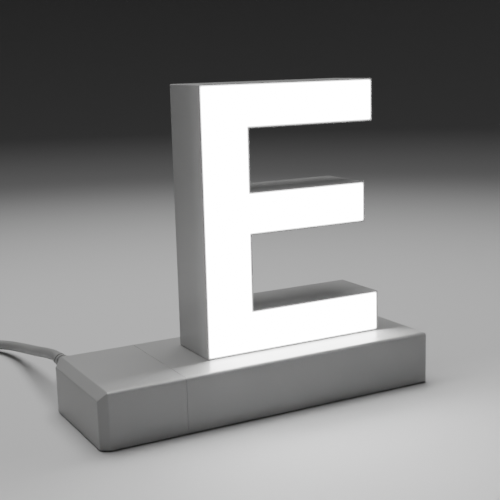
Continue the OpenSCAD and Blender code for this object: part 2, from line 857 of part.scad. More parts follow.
module end_floor() color("gainsboro") {
    difference() {
        union() {
            intersection() {
                end_cavity(z_under, plate_gap);
                block([x_left, y_front, z_under], [x_seam, y_back, z_floor]);
            }
            at_driver_screws() translate([0, 0, -board_t - post_h - cut / 2])
                cylinder(h = post_h + cut / 2, r = post_r);
        }
        at_floor_screws(end_screw_x) countersunk_hole(floor_t + cut);
        foot_pockets(end_foot_x);
        at_driver_screws() translate([0, 0, -board_t - post_h])
            cylinder(h = post_h + cut, r = small_screw_r + fit_gap);
    }
}

module end_screws() color("silver")
    at_floor_screws(end_screw_x) countersunk(floor_screw_len);

module end_feet() color("dimgray")
    feet(end_foot_x);

module link_plug() color("gainsboro")
    at_link() plug_part(wall, socket_half - plate_gap, tongue_l / 2 + flange_lip, link_plug_screws);

module link_pins() color("goldenrod")
    at_link() pin_pair(wall);

module link_screws() color("silver")
    at_link()
        for (p = link_plug_screws)
            translate([p[0], p[1], 0]) mirror([0, 0, 1]) countersunk(wall + flange_t - screw_short);

module driver_board() color("darkgreen") {
    difference() {
        block([driver_x0, -driver_y, driver_z - board_t], [driver_x1, driver_y, driver_z]);
        at_driver_screws() translate([0, 0, -board_t - cut])
            cylinder(h = board_t + 2 * cut, r = small_screw_r + fit_gap);
    }
}

module driver_screws() color("silver")
    at_driver_screws() pan_screw(board_t + post_h - cut);

// Transformer on the middle of the driver board, with its winding through the core
module at_transformer() {
    translate([driver_x0 + 2 * capacitor_r + 2 * part_gap + winding_size[0] / 2, transformer_y, driver_z])
        children();
}

module transformer_core() color("dimgray")
    at_transformer()
        translate([0, 0, transformer_size[2] / 2])
            difference() {
                cube(transformer_size, center = true);
                cube([2 * winding_size[0], winding_size[1] + 2 * plate_gap, winding_size[2] + 2 * plate_gap],
                    center = true);
            }

module transformer_winding() color("orange")
    at_transformer()
        translate([0, 0, transformer_size[2] / 2]) cube(winding_size, center = true);

module capacitors() color("steelblue")
    for (y = capacitor_y)
        translate([driver_x0 + capacitor_r + part_gap, y, driver_z])
            cylinder(h = capacitor_h, r = capacitor_r);

module rectifier() color("black")
    translate([driver_x1 - driver_hole - rectifier_size[0], rectifier_y, driver_z]) cube(rectifier_size);

module terminal_block() color("mediumseagreen")
    translate([cord_x, terminal_y, driver_z + terminal_size[2] / 2])
        difference() {
            cube(terminal_size, center = true);
            for (s = [-1, 1])
                translate([s * terminal_size[0] / 4, -terminal_size[1] / 2, 0])
                    cube(terminal_hole, center = true);
        }

module output_wires() color("firebrick") {
    x0 = x_seam - wall - flange_t - pin_collar_t - pin_tail;
    for (s = [-1, 1]) {
        y = plug_y + s * pin_pitch / 2;
        x1 = driver_x1 - 2 * wire_bend;
        wire([[x0, y, link_z], [x1 + wire_bend, y, link_z], [x1, y, link_z - wire_bend], [x1, y, driver_z]],
            wire_r);
    }
}

module cable_clamp() color("gainsboro") {
    reach = clamp_screw_x + small_head_r;
    difference() {
        block([cord_x - reach, clamp_y - clamp_w / 2, cord_z - cord_r - clamp_t],
            [cord_x + reach, clamp_y + clamp_w / 2, cord_z - cord_r - fit_gap]);
        at_clamp_screws() translate([0, 0, -clamp_t - cut])
            cylinder(h = clamp_t + 2 * cut, r = small_screw_r + fit_gap);
    }
}

module clamp_screws() color("silver")
    at_clamp_screws() translate([0, 0, -clamp_t]) mirror([0, 0, 1]) pan_screw(clamp_t + clamp_screw_bite);

module cord_tail() color("whitesmoke") {
    start = y_inner - neck_flange_t;
    translate([cord_x, tail_y, cord_z]) rotate([-90, 0, 0]) cylinder(h = start - tail_y, r = cord_r);
}

module cord_cores() color("saddlebrown") {
    top = driver_z + terminal_size[2];
    for (s = [-1, 1]) {
        x = cord_x + s * core_spread;
        wire([[x, tail_y, cord_z], [x, terminal_y + core_bend, cord_z], [x, terminal_y, cord_z - core_bend],
            [x, terminal_y, top]], core_r);
    }
}

module strain_relief() color("whitesmoke") {
    taper = relief_len - collar_len;
    pitch = taper / relief_ribs;
    fall = (relief_sleeve_r - relief_tip_r) / relief_ribs;
    ribs = [for (k = [0 : relief_ribs - 1])
        let (r = relief_sleeve_r - k * fall, y = collar_len + k * pitch)
        each [[r, y], [r - fall * rib_share, y + pitch * rib_share],
            [r - fall - rib_groove, y + pitch * rib_share], [r - fall - rib_groove, y + pitch]]];
    sleeve = [for (k = [0 : len(ribs) - 3]) ribs[k]];
    translate([cord_x, y_back, cord_z])
        rotate([-90, 0, 0])
            rotate_extrude()
                polygon(concat([[0, -wall - neck_flange_t], [neck_flange_r, -wall - neck_flange_t],
                    [neck_flange_r, -wall], [neck_r, -wall], [neck_r, 0], [relief_r, 0],
                    [relief_r, collar_len - collar_edge], [relief_r - collar_edge, collar_len]], sleeve,
                    [[relief_tip_r, relief_len - pitch * (1 - rib_share)], [relief_tip_r, relief_len],
                        [0, relief_len]]));
}

// Cord and what is on it
module at_cord() {
    translate([cord_x, cord_y, 0]) children();
}

module cord_lead() color("whitesmoke")
    at_cord() tube(cord_points, cord_r, cord_sides);

module cord_coil() color("whitesmoke")
    at_cord() tube(coil_path, cord_r, coil_sides);

module coil_tie() color("dimgray") {
    clear = cord_r + tie_gap;
    inner_r = coil_r + coil_pitch / 4 - clear;
    x0 = sqrt(pow(inner_r, 2) - pow(tie_w / 2, 2));
    x1 = coil_out - coil_pitch * 3 / 4 + clear;
    z1 = coil_top + clear;
    outer = [[x0 - tie_t, 0], [x1 + tie_t, 0], [x1 + tie_t, z1 + tie_t], [x0 - tie_t, z1 + tie_t]];
    inner = [[x0, tie_t], [x1, tie_t], [x1, z1], [x0, z1]];
    at_cord() translate([coil_x, coil_y + tie_w / 2, 0]) rotate([90, 0, 0])
        linear_extrude(tie_w)
            difference() {
                polygon(rounded(outer, tie_t + tie_corner));
                polygon(rounded(inner, tie_corner));
            }
}

module at_switch() {
    at_cord() translate([switch_x, switch_y, 0]) children();
}

module switch_outline(inset) {
    l = switch_l / 2 - inset;
    w = switch_w / 2 - inset;
    polygon(rounded([[-l, -w], [l, -w], [l, w], [-l, w]], switch_corner - inset, 8));
}

module switch_solid(z0, z1) {
    intersection() {
        translate([0, 0, z0]) linear_extrude(z1 - z0) switch_outline(0);
        rotate([90, 0, 90]) translate([0, 0, -switch_l / 2]) linear_extrude(switch_l)
            difference() {
                translate([-switch_w / 2, 0]) square([switch_w, switch_h]);
                for (a = [0, 1]) mirror([a, 0]) {
                    translate([-switch_w / 2, switch_h]) mirror([0, 1]) corner_waste(switch_edge);
                    translate([-switch_w / 2, 0]) corner_waste(switch_edge / 2);
                }
            }
    }
}

module at_switch_screws() {
    for (s = [-1, 1])
        translate([s * switch_screw_x, 0, 0]) children();
}

module at_pivot() {
    translate([0, 0, pivot_z]) rotate([90, 0, 0]) children();
}

module switch_lower() color("whitesmoke") {
    at_switch() difference() {
        switch_solid(0, switch_split);
        difference() {
            translate([0, 0, switch_wall]) linear_extrude(switch_h) switch_outline(switch_wall);
            at_switch_screws() cylinder(h = switch_split, r = switch_boss_r);
        }
        at_switch_screws() mirror([0, 0, 1]) countersunk_hole(switch_split + cut);
    }
}

module switch_upper() color("whitesmoke") {
    open_l = rocker_l / 2 + rocker_gap;
    open_w = rocker_w / 2 + rocker_side_gap;
    at_switch() difference() {
        switch_solid(switch_split, switch_h);
        difference() {
            translate([0, 0, switch_split - cut]) linear_extrude(switch_h - switch_wall - switch_split + cut)
                switch_outline(switch_wall);
            at_switch_screws() translate([0, 0, switch_split]) cylinder(h = switch_h, r = switch_boss_r);
            for (s = [-1, 1])
                translate([-ear_t, s * (open_w + ear_t / 2) - ear_t / 2, pivot_z - 2 * pivot_r])
                    cube([2 * ear_t, ear_t, switch_h]);
        }
        block([-open_l, -open_w, switch_split], [open_l, open_w, switch_h + cut]);
        at_pivot() cylinder(h = rocker_w + 2 * ear_t + cut, r = pivot_r + fit_gap, center = true);
        at_switch_screws() translate([0, 0, switch_split - cut])
            cylinder(h = switch_h - switch_wall - switch_split, r = screw_r + fit_gap);
    }
}

module switch_rocker() color("gainsboro") {
    l = rocker_l / 2;
    at_switch() translate([0, 0, pivot_z])
        rotate([0, rocker_travel / 2, 0])
            difference() {
                translate([0, rocker_w / 2, 0]) rotate([90, 0, 0]) linear_extrude(rocker_w)
                    polygon([[-l, rocker_crown], [0, rocker_dip], [l, rocker_crown], [l, -rocker_skirt],
                        [rocker_keel_w, -rocker_keel], [-rocker_keel_w, -rocker_keel], [-l, -rocker_skirt]]);
                rotate([90, 0, 0]) cylinder(h = rocker_w + 2 * cut, r = pivot_r + fit_gap, center = true);
            }
}

module rocker_pin() color("silver")
    at_switch() at_pivot() cylinder(h = rocker_w + 2 * ear_t, r = pivot_r, center = true);

module switch_contacts() color("goldenrod")
    at_switch()
        for (s = [-1, 1])
            translate([s * contact_x - contact_size[0] / 2, -contact_size[1] / 2, switch_wall])
                cube(contact_size);

module switch_screws() color("silver")
    at_switch() at_switch_screws() mirror([0, 0, 1]) countersunk(switch_split + switch_screw_bite);

module at_plug() {
    at_cord() translate([plug_at[0], plug_at[1], plug_axis]) rotate([0, 0, -90]) children();
}

module plug_body() color("whitesmoke") {
    w = plug_w / 2;
    t = plug_t / 2;
    at_plug() difference() {
        intersection() {
            translate([0, 0, -t]) linear_extrude(plug_t)
                polygon([[0, -plug_neck], [plug_grip, -plug_neck], [plug_grip + plug_shoulder, -plug_waist],
                    [plug_l - plug_rim, -w], [plug_l, -w], [plug_l, w], [plug_l - plug_rim, w],
                    [plug_grip + plug_shoulder, plug_waist], [plug_grip, plug_neck], [0, plug_neck]]);
            translate([0, w, 0]) rotate([90, 0, 0]) linear_extrude(plug_w)
                polygon([[0, -plug_neck], [plug_grip, -t], [plug_l, -t], [plug_l, t], [plug_grip, t],
                    [0, plug_neck]]);
            rotate([90, 0, 90]) linear_extrude(plug_l)
                polygon([[-w, 0], [t - w, -t], [w - t, -t], [w, 0], [w - t, t], [t - w, t]]);
        }
        for (s = [-1, 1])
            translate([plug_l - prong_in, s * prong_pitch / 2, 0]) rotate([0, 90, 0])
                cylinder(h = prong_in + cut, r = prong_core_r + fit_gap);
    }
}

module plug_pins() color("goldenrod") {
    tip = prong_r / 2;
    start = plug_l + prong_sleeve_l;
    for (s = [-1, 1])
        at_plug() translate([0, s * prong_pitch / 2, 0]) rotate([0, 90, 0]) {
            translate([0, 0, plug_l - prong_in])
                cylinder(h = prong_in + prong_sleeve_l + tip, r = prong_core_r);
            translate([0, 0, start]) cylinder(h = prong_l - prong_sleeve_l - tip, r = prong_r);
            translate([0, 0, plug_l + prong_l - tip]) cylinder(h = tip, r1 = prong_r, r2 = prong_r - tip);
        }
}

module pin_sleeves() color("lightgray")
    for (s = [-1, 1])
        at_plug() translate([plug_l, s * prong_pitch / 2, 0]) rotate([0, 90, 0])
            difference() {
                cylinder(h = prong_sleeve_l, r = prong_sleeve_r);
                translate([0, 0, -cut]) cylinder(h = prong_sleeve_l + 2 * cut, r = prong_core_r + fit_gap);
            }

letter_case();
face_diffuser();
letter_back();
back_screws();
led_board();
led_chips();
led_lenses();
board_screws();
letter_wires();
letter_plug();
letter_pins();
plug_screws();
base_housing();
base_floor();
base_screws();
base_feet();
letter_socket();
letter_sleeves();
link_socket();
link_sleeves();
bus_bars();
end_housing();
end_floor();
end_screws();
end_feet();
link_plug();
link_pins();
link_screws();
driver_board();
driver_screws();
transformer_core();
transformer_winding();
capacitors();
rectifier();
terminal_block();
output_wires();
cable_clamp();
clamp_screws();
cord_tail();
cord_cores();
strain_relief();
cord_lead();
cord_coil();
coil_tie();
switch_lower();
switch_upper();
switch_rocker();
rocker_pin();
switch_contacts();
switch_screws();
plug_body();
plug_pins();
pin_sleeves();
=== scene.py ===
import json
import math

import bmesh
import bpy
from mathutils import Matrix, Vector


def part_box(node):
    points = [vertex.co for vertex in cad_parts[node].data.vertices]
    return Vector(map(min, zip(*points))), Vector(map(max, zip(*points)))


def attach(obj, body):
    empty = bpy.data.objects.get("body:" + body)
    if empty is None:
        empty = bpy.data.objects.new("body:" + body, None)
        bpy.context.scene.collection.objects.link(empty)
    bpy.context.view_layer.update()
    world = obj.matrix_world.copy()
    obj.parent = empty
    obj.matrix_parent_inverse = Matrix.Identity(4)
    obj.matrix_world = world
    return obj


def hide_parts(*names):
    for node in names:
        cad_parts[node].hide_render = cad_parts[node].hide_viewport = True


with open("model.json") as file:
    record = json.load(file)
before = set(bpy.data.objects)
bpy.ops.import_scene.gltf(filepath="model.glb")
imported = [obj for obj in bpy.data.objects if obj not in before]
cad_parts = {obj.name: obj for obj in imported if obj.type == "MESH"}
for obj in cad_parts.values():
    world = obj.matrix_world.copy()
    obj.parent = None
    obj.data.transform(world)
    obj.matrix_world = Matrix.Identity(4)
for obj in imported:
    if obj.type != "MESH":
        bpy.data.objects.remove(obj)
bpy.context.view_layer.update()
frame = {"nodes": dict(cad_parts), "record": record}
nodes = frame["nodes"]
record = frame["record"]
looks = {}
MM = 0.001

# Camera, fitted to the photograph: a 500-pixel frame, places in metres, angles in degrees
FRAME_PX = 500
FOCAL_PX = 982.4
SENSOR_MM = 36.0
CAMERA_AT = (-0.2574, -0.4855, 0.1924)
AZIMUTH, ELEVATION, ROLL = -28.4, 10.85, -1.53
CLIP_START = 0.01

# Cord: its route in millimetres from the strain relief's tip, with heights above the table
CORD_D = 6.4
CORD_ROUND, CORD_STEPS = 6, 8
CORD_START = (-92.8, 60.0)
LEAD_POINTS = [
    (0, 0, 23.6), (0, 4, 23.6), (0, 18, 21.7), (0, 30, 19.5), (0, 48, 15.9), (0, 66, 12.6), (-0.8, 84, 9.5),
    (-3, 100, 7.1), (-7.6, 113, 5.4), (-14, 124, 4.2), (-22, 132, 3.7), (-31, 137, 4.2), (-38.5, 138.8, 5.6),
    (-45, 139, 7), (-51, 139, 7),
]
SWITCH_L = 54.0
RUN_IN = 30.0
COIL_R, COIL_PITCH, COIL_TURNS = 26.0, 8.0, 3
COIL_Z, COIL_STEP = 4.6, 7.4
COIL_RINGS = 24
TAIL_BEND, TAIL_RUN, TAIL_RINGS = 30.0, 6.4, 6
PLUG_AXIS_Z = 6.85

# Letter, in millimetres; its outer box comes from the frame
SPINE_W, ARM_T, MID_ARM_T, MID_ARM_Z = 29.4, 24.4, 24.0, 67.0
TOP_ARM, MID_ARM = 110.4, 105.0
CASE_WALL, RIM_W, LEDGE_Y = 2.0, 0.7, 3.2
COVER_T, BACK_RIM, PLATE_GAP = 2.0, 1.0, 0.1
LETTER_CORNER = 0.8
FACE_RECESS, FACE_EDGE, DIM_BAND = 0.2, 0.3, 0.4
FRONT_EDGE, REAR_EDGE, LIP_EDGE = 0.25, 0.5, 0.15
BACK_BOSS_INSET, BOSS_R, BOSS_LEN = 4.2, 3.0, 12.0

# Plinth, in millimetres
WALL = 2.5
EDGE_R, UPRIGHT_R, SEAM_R, CHAMFER_R, UNDER_R = 2.0, 0.9, 0.5, 0.45, 0.3
CHAMFER, CHAMFER_SIDE = 4.7, 3.8
CAVITY_CHAMFER = 2.0
FLOOR_BOSS_R, FLOOR_BOSS_H, FLOOR_T = 3.5, 12.0, 2.5

# Plug-in joints and screws, in millimetres
TONGUE_L, TONGUE_W, TONGUE_H, TONGUE_GAP = 26.0, 12.0, 8.0, 0.4
TONGUE_CORNER, TIP_R, LEAD_IN = 1.4, 0.7, 0.5
FLANGE_T, FLANGE_SCREW = 3.0, 4.2
PIN_R, PIN_PITCH, FIT_GAP = 2.0, 15.0, 0.05
SCREW_R, HEAD_R, HEAD_T = 1.3, 2.45, 1.3
CORD_HOLE_R = 4.15
CUT = 1.0

# In-line switch and plug, in millimetres and degrees
SWITCH_W, SWITCH_H, SWITCH_SPLIT = 24.0, 15.0, 7.0
SWITCH_WALL, SWITCH_CORNER, SWITCH_EDGE, SWITCH_UNDER, SWITCH_SEAM = 2.0, 7.0, 2.4, 1.2, 0.3
ROCKER_L, ROCKER_W, ROCKER_TILT, PIVOT_Z = 19.6, 11.0, 7.0, 12.6
ROCKER_CROWN, ROCKER_DIP, ROCKER_SKIRT, ROCKER_KEEL, ROCKER_KEEL_W = 3.6, 2.2, 1.2, 4.2, 3.5
ROCKER_GAP, ROCKER_SIDE_GAP = 0.8, 0.3
MARK_X, MARK_LIFT, MARK_L, MARK_W = 6.3, 0.12, 3.6, 0.8
SWITCH_SCREW_X = 19.0
LIP_DROP, EAR_T = 0.5, 2.5
ROCKER_EDGE, ROCKER_STEPS = 0.5, 16
# Shares of the bar's size: the radius of its corners and the size of its top
MARK_ROUND, MARK_TOP = 0.9, 0.85
PLUG_L = 36.0
# Plug sections: distance from the cable end, half width, half thickness
PLUG_SECTIONS = [
    (0, 4.3, 4.3), (1.5, 5.3, 5.3), (9, 6.0, 6.2), (14, 8.8, 6.7), (20, 12.5, 6.85), (28, 16.6, 6.85),
    (33.5, 17.65, 6.85), (35.3, 17.5, 6.6), (36, 16.6, 5.8),
]
PLUG_RINGS, PLUG_CROWD, PLUG_SQUARE = 72, 1.4, 0.7
RIB_START, RIB_END, RIB_PITCH, RIB_DEPTH = 1.8, 9.6, 1.95, 0.55

# Strap round the coil, in millimetres; its end lifts by a multiple of its thickness
STRAP_T, STRAP_CORNER, STRAP_EDGE, STRAP_STEP = 1.0, 2.0, 0.3, 0.6
STRAP_LAP, LAP_LIFT, STRAP_TIP = 18.0, 1.06, 0.2
STRAP_CORNER_STEPS, STRAP_EDGE_STEPS = 8, 2

# Finish of meshes: steps round corners, sides of a lathed shape, and the angle of a sharp edge in degrees
CORNER_STEPS, EDGE_STEPS, LIP_STEPS = 5, 3, 2
LATHE_SIDES = 48
SHARP_ANGLE = 32.0
# Places that are closer than this, in millimetres, are the same
SAME_MM = 0.05

# Lit face: its strength, and the share of it at the border in front of the ledge
FACE_GLOW, EDGE_LIGHT = 24.0, 0.1
# Glow on the letter's walls, partly light let through from inside and partly painted light that lifts their
# shade: its strength, where its fall bends, and shares at front, bend and back
SHELL_PAINTED_GLOW, PAINTED_GLOW_BEND, PAINTED_GLOW_SHARES = 0.11, 0.35, (1.0, 0.5, 0.3)

# Materials: greys, the middle of a noise's range, and how much deeper a plastic's swell is than its grain
LETTER_GREY, PLINTH_GREY = (0.35, 0.35, 0.347), (0.37, 0.37, 0.367)
SHELL_GREY, CORD_GREY = (0.39, 0.39, 0.387), (0.29, 0.29, 0.287)
NOISE_LOW, NOISE_HIGH = 0.3, 0.7
SWELL = 3
# A wave texture's scale of 1 has this share of a band in each unit
WAVE_SCALE = 0.314

# Floor that curves up all round into a wall: flat radius, curve, wall height and fade of its grey, a painted
# shade that darkens the wall as falling-off light would, in metres
FLAT_R, CURVE_R, WALL_TOP = 2.2, 0.9, 3.0
HUB_R, FLOOR_SIDES, CURVE_STEPS = 0.001, 96, 16
FLOOR_GREY, PAINTED_WALL_SHADE_GREY = 0.58, 0.14
PAINTED_FALLOFF_START, PAINTED_FALLOFF_END = 0.2, 1.2

# Lights: places and sizes in metres, power in watts
KEY_AT, KEY_AIM, KEY_SIZE, KEY_POWER = (0.05, 0.4, 1.6), (0, 0, 0.06), 1.2, 26.0
ROOM_AT, ROOM_AIM, ROOM_SIZE, ROOM_POWER = (0, 0.3, 3.0), (0, 0.3, 0), 3.4, 16.0
WORLD_LIGHT = 0.05


def camera():
    """Camera at the photograph's viewing angle."""
    a, e, r = (math.radians(x) for x in (AZIMUTH, ELEVATION, ROLL))
    back = Vector((math.sin(a) * math.cos(e), -math.cos(a) * math.cos(e), math.sin(e)))
    right = Vector((0, 0, 1)).cross(back).normalized()
    up = back.cross(right)
    across = right * math.cos(r) + up * math.sin(r)
    upward = up * math.cos(r) - right * math.sin(r)
    data = bpy.data.cameras.new("camera")
    data.sensor_width = SENSOR_MM
    data.lens = FOCAL_PX / FRAME_PX * SENSOR_MM
    data.clip_start = CLIP_START
    cam = add_object("camera", data)
    turn = Matrix((across, upward, back)).transposed().to_4x4()
    cam.matrix_world = Matrix.Translation(CAMERA_AT) @ turn
    bpy.context.scene.camera = cam


def add_object(name, data):
    """New object in the scene."""
    made = bpy.data.objects.new(name, data)
    bpy.context.scene.collection.objects.link(made)
    return made


def ease(t):
    """Smooth step from 0 to 1."""
    t = max(0.0, min(1.0, t))
    return t * t * (3 - 2 * t)


def grey(value):
    """A grey as a colour."""
    return (value, value, value)


def round_angles(sides):
    """Angles of equal steps round a circle."""
    return [2 * math.pi * k / sides for k in range(sides)]


def rectangle(w, l):
    """Corners of a rectangle round the origin, from its half sizes."""
    return [(-w, -l), (w, -l), (w, l), (-w, l)]


def lead_path():
    """Route of the free lead, in metres in the frame."""
    return [Vector((CORD_START[0] + x, CORD_START[1] + y, z)) * MM for x, y, z in LEAD_POINTS]


def coil_path():
    """Route of the coil: in from the switch, a spiral in, a climb, a spiral out and the tail to the plug."""
    x_end, y_end, z_end = LEAD_POINTS[-1]
    out = COIL_R + COIL_TURNS * COIL_PITCH
    cx, cy = x_end - SWITCH_L - RUN_IN, y_end - out
    layer, climb = COIL_RINGS * COIL_TURNS, COIL_RINGS // 2
    top = COIL_Z + COIL_STEP
    points = [(cx + RUN_IN, y_end, z_end), (cx + RUN_IN - CORD_D, y_end, z_end)]
    points.append((cx + RUN_IN / 3, y_end, (z_end + COIL_Z) / 2))
    for k in range(2 * layer + climb + 1):
        angle = math.radians(90 + 360 * k / COIL_RINGS)
        share = (k - layer) / climb
        if k < layer:
            r = out - COIL_PITCH * k / COIL_RINGS
        else:
            r = COIL_R + COIL_PITCH * max(0, k - layer - climb) / COIL_RINGS
        z = COIL_Z + COIL_STEP * ease(share)
        points.append((cx + r * math.cos(angle), cy + r * math.sin(angle), z))
    for k in range(TAIL_RINGS + 1):
        s = k / TAIL_RINGS
        x = cx + TAIL_RUN + TAIL_BEND * math.sin(math.pi / 2 * s)
        y = cy - out - TAIL_BEND + TAIL_BEND * math.cos(math.pi / 2 * s)
        points.append((x, y, top + (PLUG_AXIS_Z - top) * ease(s)))
    x, y, z = points[-1]
    points.append((x, y - TAIL_RUN, z))
    return [Vector((CORD_START[0] + x, CORD_START[1] + y, z)) * MM for x, y, z in points]


def cord_curve(name, path):
    """A round cord as one smooth open spline through the route's points, whose radius sets its thickness."""
    curve = bpy.data.curves.new(name, "CURVE")
    curve.dimensions = "3D"
    curve.bevel_depth = 1.0
    curve.bevel_resolution = CORD_ROUND
    curve.resolution_u = CORD_STEPS
    curve.use_fill_caps = True
    spline = curve.splines.new("BEZIER")
    spline.bezier_points.add(len(path) - 1)
    for point, place in zip(spline.bezier_points, path):
        point.co = place
        point.radius = CORD_D / 2 * MM
        point.handle_left_type = point.handle_right_type = "AUTO"
    return add_object(name, curve)


# Mesh tools: every shape is given in millimetres in the frame

def corners(node):
    """Lowest and highest corner of a CAD node, in millimetres."""
    low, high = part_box(node)
    return low / MM, high / MM


def mesh_piece(name, points, faces):
    """Mesh object from points and faces, with its normals turned outwards."""
    mesh = bpy.data.meshes.new(name)
    mesh.from_pydata([Vector(p) * MM for p in points], [], faces)
    shape = bmesh.new()
    shape.from_mesh(mesh)
    bmesh.ops.recalc_face_normals(shape, faces=shape.faces)
    shape.to_mesh(mesh)
    shape.free()
    return add_object(name, mesh)


def loft(name, rings, closed=False):
    """Skin through rings of equally many points, capped at its ends or joined into a loop."""
    n = len(rings[0])
    points = [p for ring in rings for p in ring]
    faces = []
    for k in range(len(rings) if closed else len(rings) - 1):
        a, b = k * n, (k + 1) % len(rings) * n
        faces += [(a + j, a + (j + 1) % n, b + (j + 1) % n, b + j) for j in range(n)]
    if not closed:
        faces.append(tuple(reversed(range(n))))
        faces.append(tuple(range(len(points) - n, len(points))))
    return mesh_piece(name, points, faces)


def lathe(name, profile, at, axis, closed=False):
    """Round solid: radius and height pairs turned about an axis."""
    axis = Vector(axis).normalized()
    u = axis.orthogonal().normalized()
    v = axis.cross(u)
    spokes = [u * math.cos(a) + v * math.sin(a) for a in round_angles(LATHE_SIDES)]
    rings = [[Vector(at) + axis * h + spoke * r for spoke in spokes] for r, h in profile]
    return loft(name, rings, closed)


def block(name, low, high):
    """Box between two corners."""
    flat = [(low[0], low[1]), (high[0], low[1]), (high[0], high[1]), (low[0], high[1])]
    return loft(name, [[(x, y, z) for x, y in flat] for z in (low[2], high[2])])


def rounded(outline, r, steps=CORNER_STEPS):
    """Flat outline whose right-angled corners are arcs."""
    out = []
    for k, corner in enumerate(outline):
        b = Vector(corner)
        u = (Vector(outline[k - 1]) - b).normalized()
        v = (Vector(outline[(k + 1) % len(outline)]) - b).normalized()
        for s in range(steps + 1):
            a = math.pi / 2 * s / steps
            out.append(b + r * (u + v) - r * (v * math.cos(a) + u * math.sin(a)))
    return out


def quarter(start, end, flat_first, steps=CORNER_STEPS):
    """Quarter round between two profile points; with flat_first it leaves start along the first axis."""
    out = []
    for s in range(steps + 1):
        a = math.pi / 2 * s / steps
        along, across = math.sin(a), 1 - math.cos(a)
        p, q = (along, across) if flat_first else (across, along)
        out.append((start[0] + (end[0] - start[0]) * p, start[1] + (end[1] - start[1]) * q))
    return out


def soften(piece, radius_of, segments=CORNER_STEPS):
    """Rounds a solid's edges; radius_of gives an edge's radius in millimetres from its two ends."""
    mesh = piece.data
    radii = [radius_of(*(mesh.vertices[v].co / MM for v in edge.vertices)) for edge in mesh.edges]
    largest = max(radii)
    layer = mesh.attributes.new("bevel_weight_edge", "FLOAT", "EDGE")
    for item, radius in zip(layer.data, radii):
        item.value = radius / largest
    bevel = piece.modifiers.new("soften", "BEVEL")
    bevel.width = largest * MM
    bevel.segments = segments
    bevel.limit_method = "WEIGHT"
    bevel.use_clamp_overlap = False


def settle(piece, cutters=(), added=()):
    """Joins shapes to a piece, cuts others out of it and applies all that to its mesh."""
    for operation, tools in (("UNION", added), ("DIFFERENCE", cutters)):
        for tool in tools:
            boolean = piece.modifiers.new("boolean", "BOOLEAN")
            boolean.operation = operation
            boolean.solver = "EXACT"
            boolean.object = tool
    bpy.context.view_layer.update()
    graph = bpy.context.evaluated_depsgraph_get()
    mesh = bpy.data.meshes.new_from_object(piece.evaluated_get(graph))
    piece.modifiers.clear()
    piece.data = mesh
    for tool in (*cutters, *added):
        bpy.data.objects.remove(tool)
    return piece


def shade(piece):
    """Smooth shading up to the sharp angle, led by the large faces."""
    mesh = piece.data
    mesh.polygons.foreach_set("use_smooth", [True] * len(mesh.polygons))
    mesh.set_sharp_from_angle(angle=math.radians(SHARP_ANGLE))
    normals = piece.modifiers.new("normals", "WEIGHTED_NORMAL")
    normals.keep_sharp = True
    return piece


def same(a, b):
    """Whether two places along an axis are the same."""
    return abs(a - b) < SAME_MM


def screw_hole(at, axis, depth):
    """Cutter for a countersunk screw whose head's flat is at a point; axis points out of the surface."""
    profile = [(SCREW_R, -depth), (SCREW_R, -HEAD_T), (HEAD_R, 0), (HEAD_R, CUT)]
    return lathe("cutter", profile, at, axis)


def rod(at, axis, r, length):
    """Round bar from a point along an axis."""
    return lathe("cutter", [(r, 0), (r, length)], at, axis)


def centre(node):
    """Middle of a CAD node's box, in millimetres."""
    low, high = corners(node)
    return (low + high) / 2


# Pieces

def letter_outline(i):
    """Corners of the letter in its own plane, drawn in by a distance all round."""
    low, high = corners("letter_case")
    bottom, h = high.x - low.x, high.z - low.z
    arm_top = MID_ARM_Z + MID_ARM_T
    return [
        (i, i), (bottom - i, i), (bottom - i, ARM_T - i), (SPINE_W - i, ARM_T - i),
        (SPINE_W - i, MID_ARM_Z + i), (MID_ARM - i, MID_ARM_Z + i), (MID_ARM - i, arm_top - i),
        (SPINE_W - i, arm_top - i), (SPINE_W - i, h - ARM_T + i), (TOP_ARM - i, h - ARM_T + i),
        (TOP_ARM - i, h - i), (i, h - i),
    ]


def letter_ring(inset, y):
    """The letter's outline as a ring in the frame, at a depth behind its front."""
    low = corners("letter_case")[0]
    flat = rounded(letter_outline(inset), LETTER_CORNER)
    return [(low.x + p.x, low.y + y, low.z + p.y) for p in flat]


def back_screw_places():
    """Places of the back cover's screws, in the frame, on the letter's back plane."""
    low, high = corners("letter_case")
    i, h, arm_top = BACK_BOSS_INSET, high.z - low.z, MID_ARM_Z + MID_ARM_T
    flat = [(i, i), (high.x - low.x - i, i), (MID_ARM - i, arm_top - i), (TOP_ARM - i, h - i), (i, h - i)]
    return [Vector((low.x + x, high.y, low.z + z)) for x, z in flat]


def letter_walls():
    """Case of the letter: outer wall, front rim, ledge for the face and recess for the back cover."""
    low, high = corners("letter_case")
    d = high.y - low.y
    profile = [(RIM_W, LEDGE_Y), *quarter((RIM_W, LIP_EDGE), (RIM_W - LIP_EDGE, 0), False, LIP_STEPS)]
    profile += quarter((FRONT_EDGE, 0), (0, FRONT_EDGE), True, EDGE_STEPS)
    profile += quarter((0, d - REAR_EDGE), (REAR_EDGE, d), False)
    profile += quarter((BACK_RIM - LIP_EDGE, d), (BACK_RIM, d - LIP_EDGE), True, LIP_STEPS)
    profile += [(BACK_RIM, d - COVER_T), (CASE_WALL, d - COVER_T), (CASE_WALL, LEDGE_Y)]
    case = loft("letter_walls", [letter_ring(i, y) for i, y in profile], closed=True)
    tongue = tongue_opening(letter_plug_place(), -CUT, CASE_WALL + CUT, PLATE_GAP)
    plug = centre("letter_pins")
    reach = TONGUE_W / 2 + FLANGE_SCREW
    holes = [screw_hole((plug.x + s * reach, plug.y, low.z), (0, 0, -1), CASE_WALL + CUT) for s in (-1, 1)]
    bosses = []
    for place in back_screw_places():
        seat = place - Vector((0, COVER_T, 0))
        bosses.append(rod(seat, (0, -1, 0), BOSS_R, BOSS_LEN))
        holes.append(rod(seat + Vector((0, CUT, 0)), (0, -1, 0), SCREW_R, BOSS_LEN))
    return shade(settle(case, [tongue, *holes], bosses))


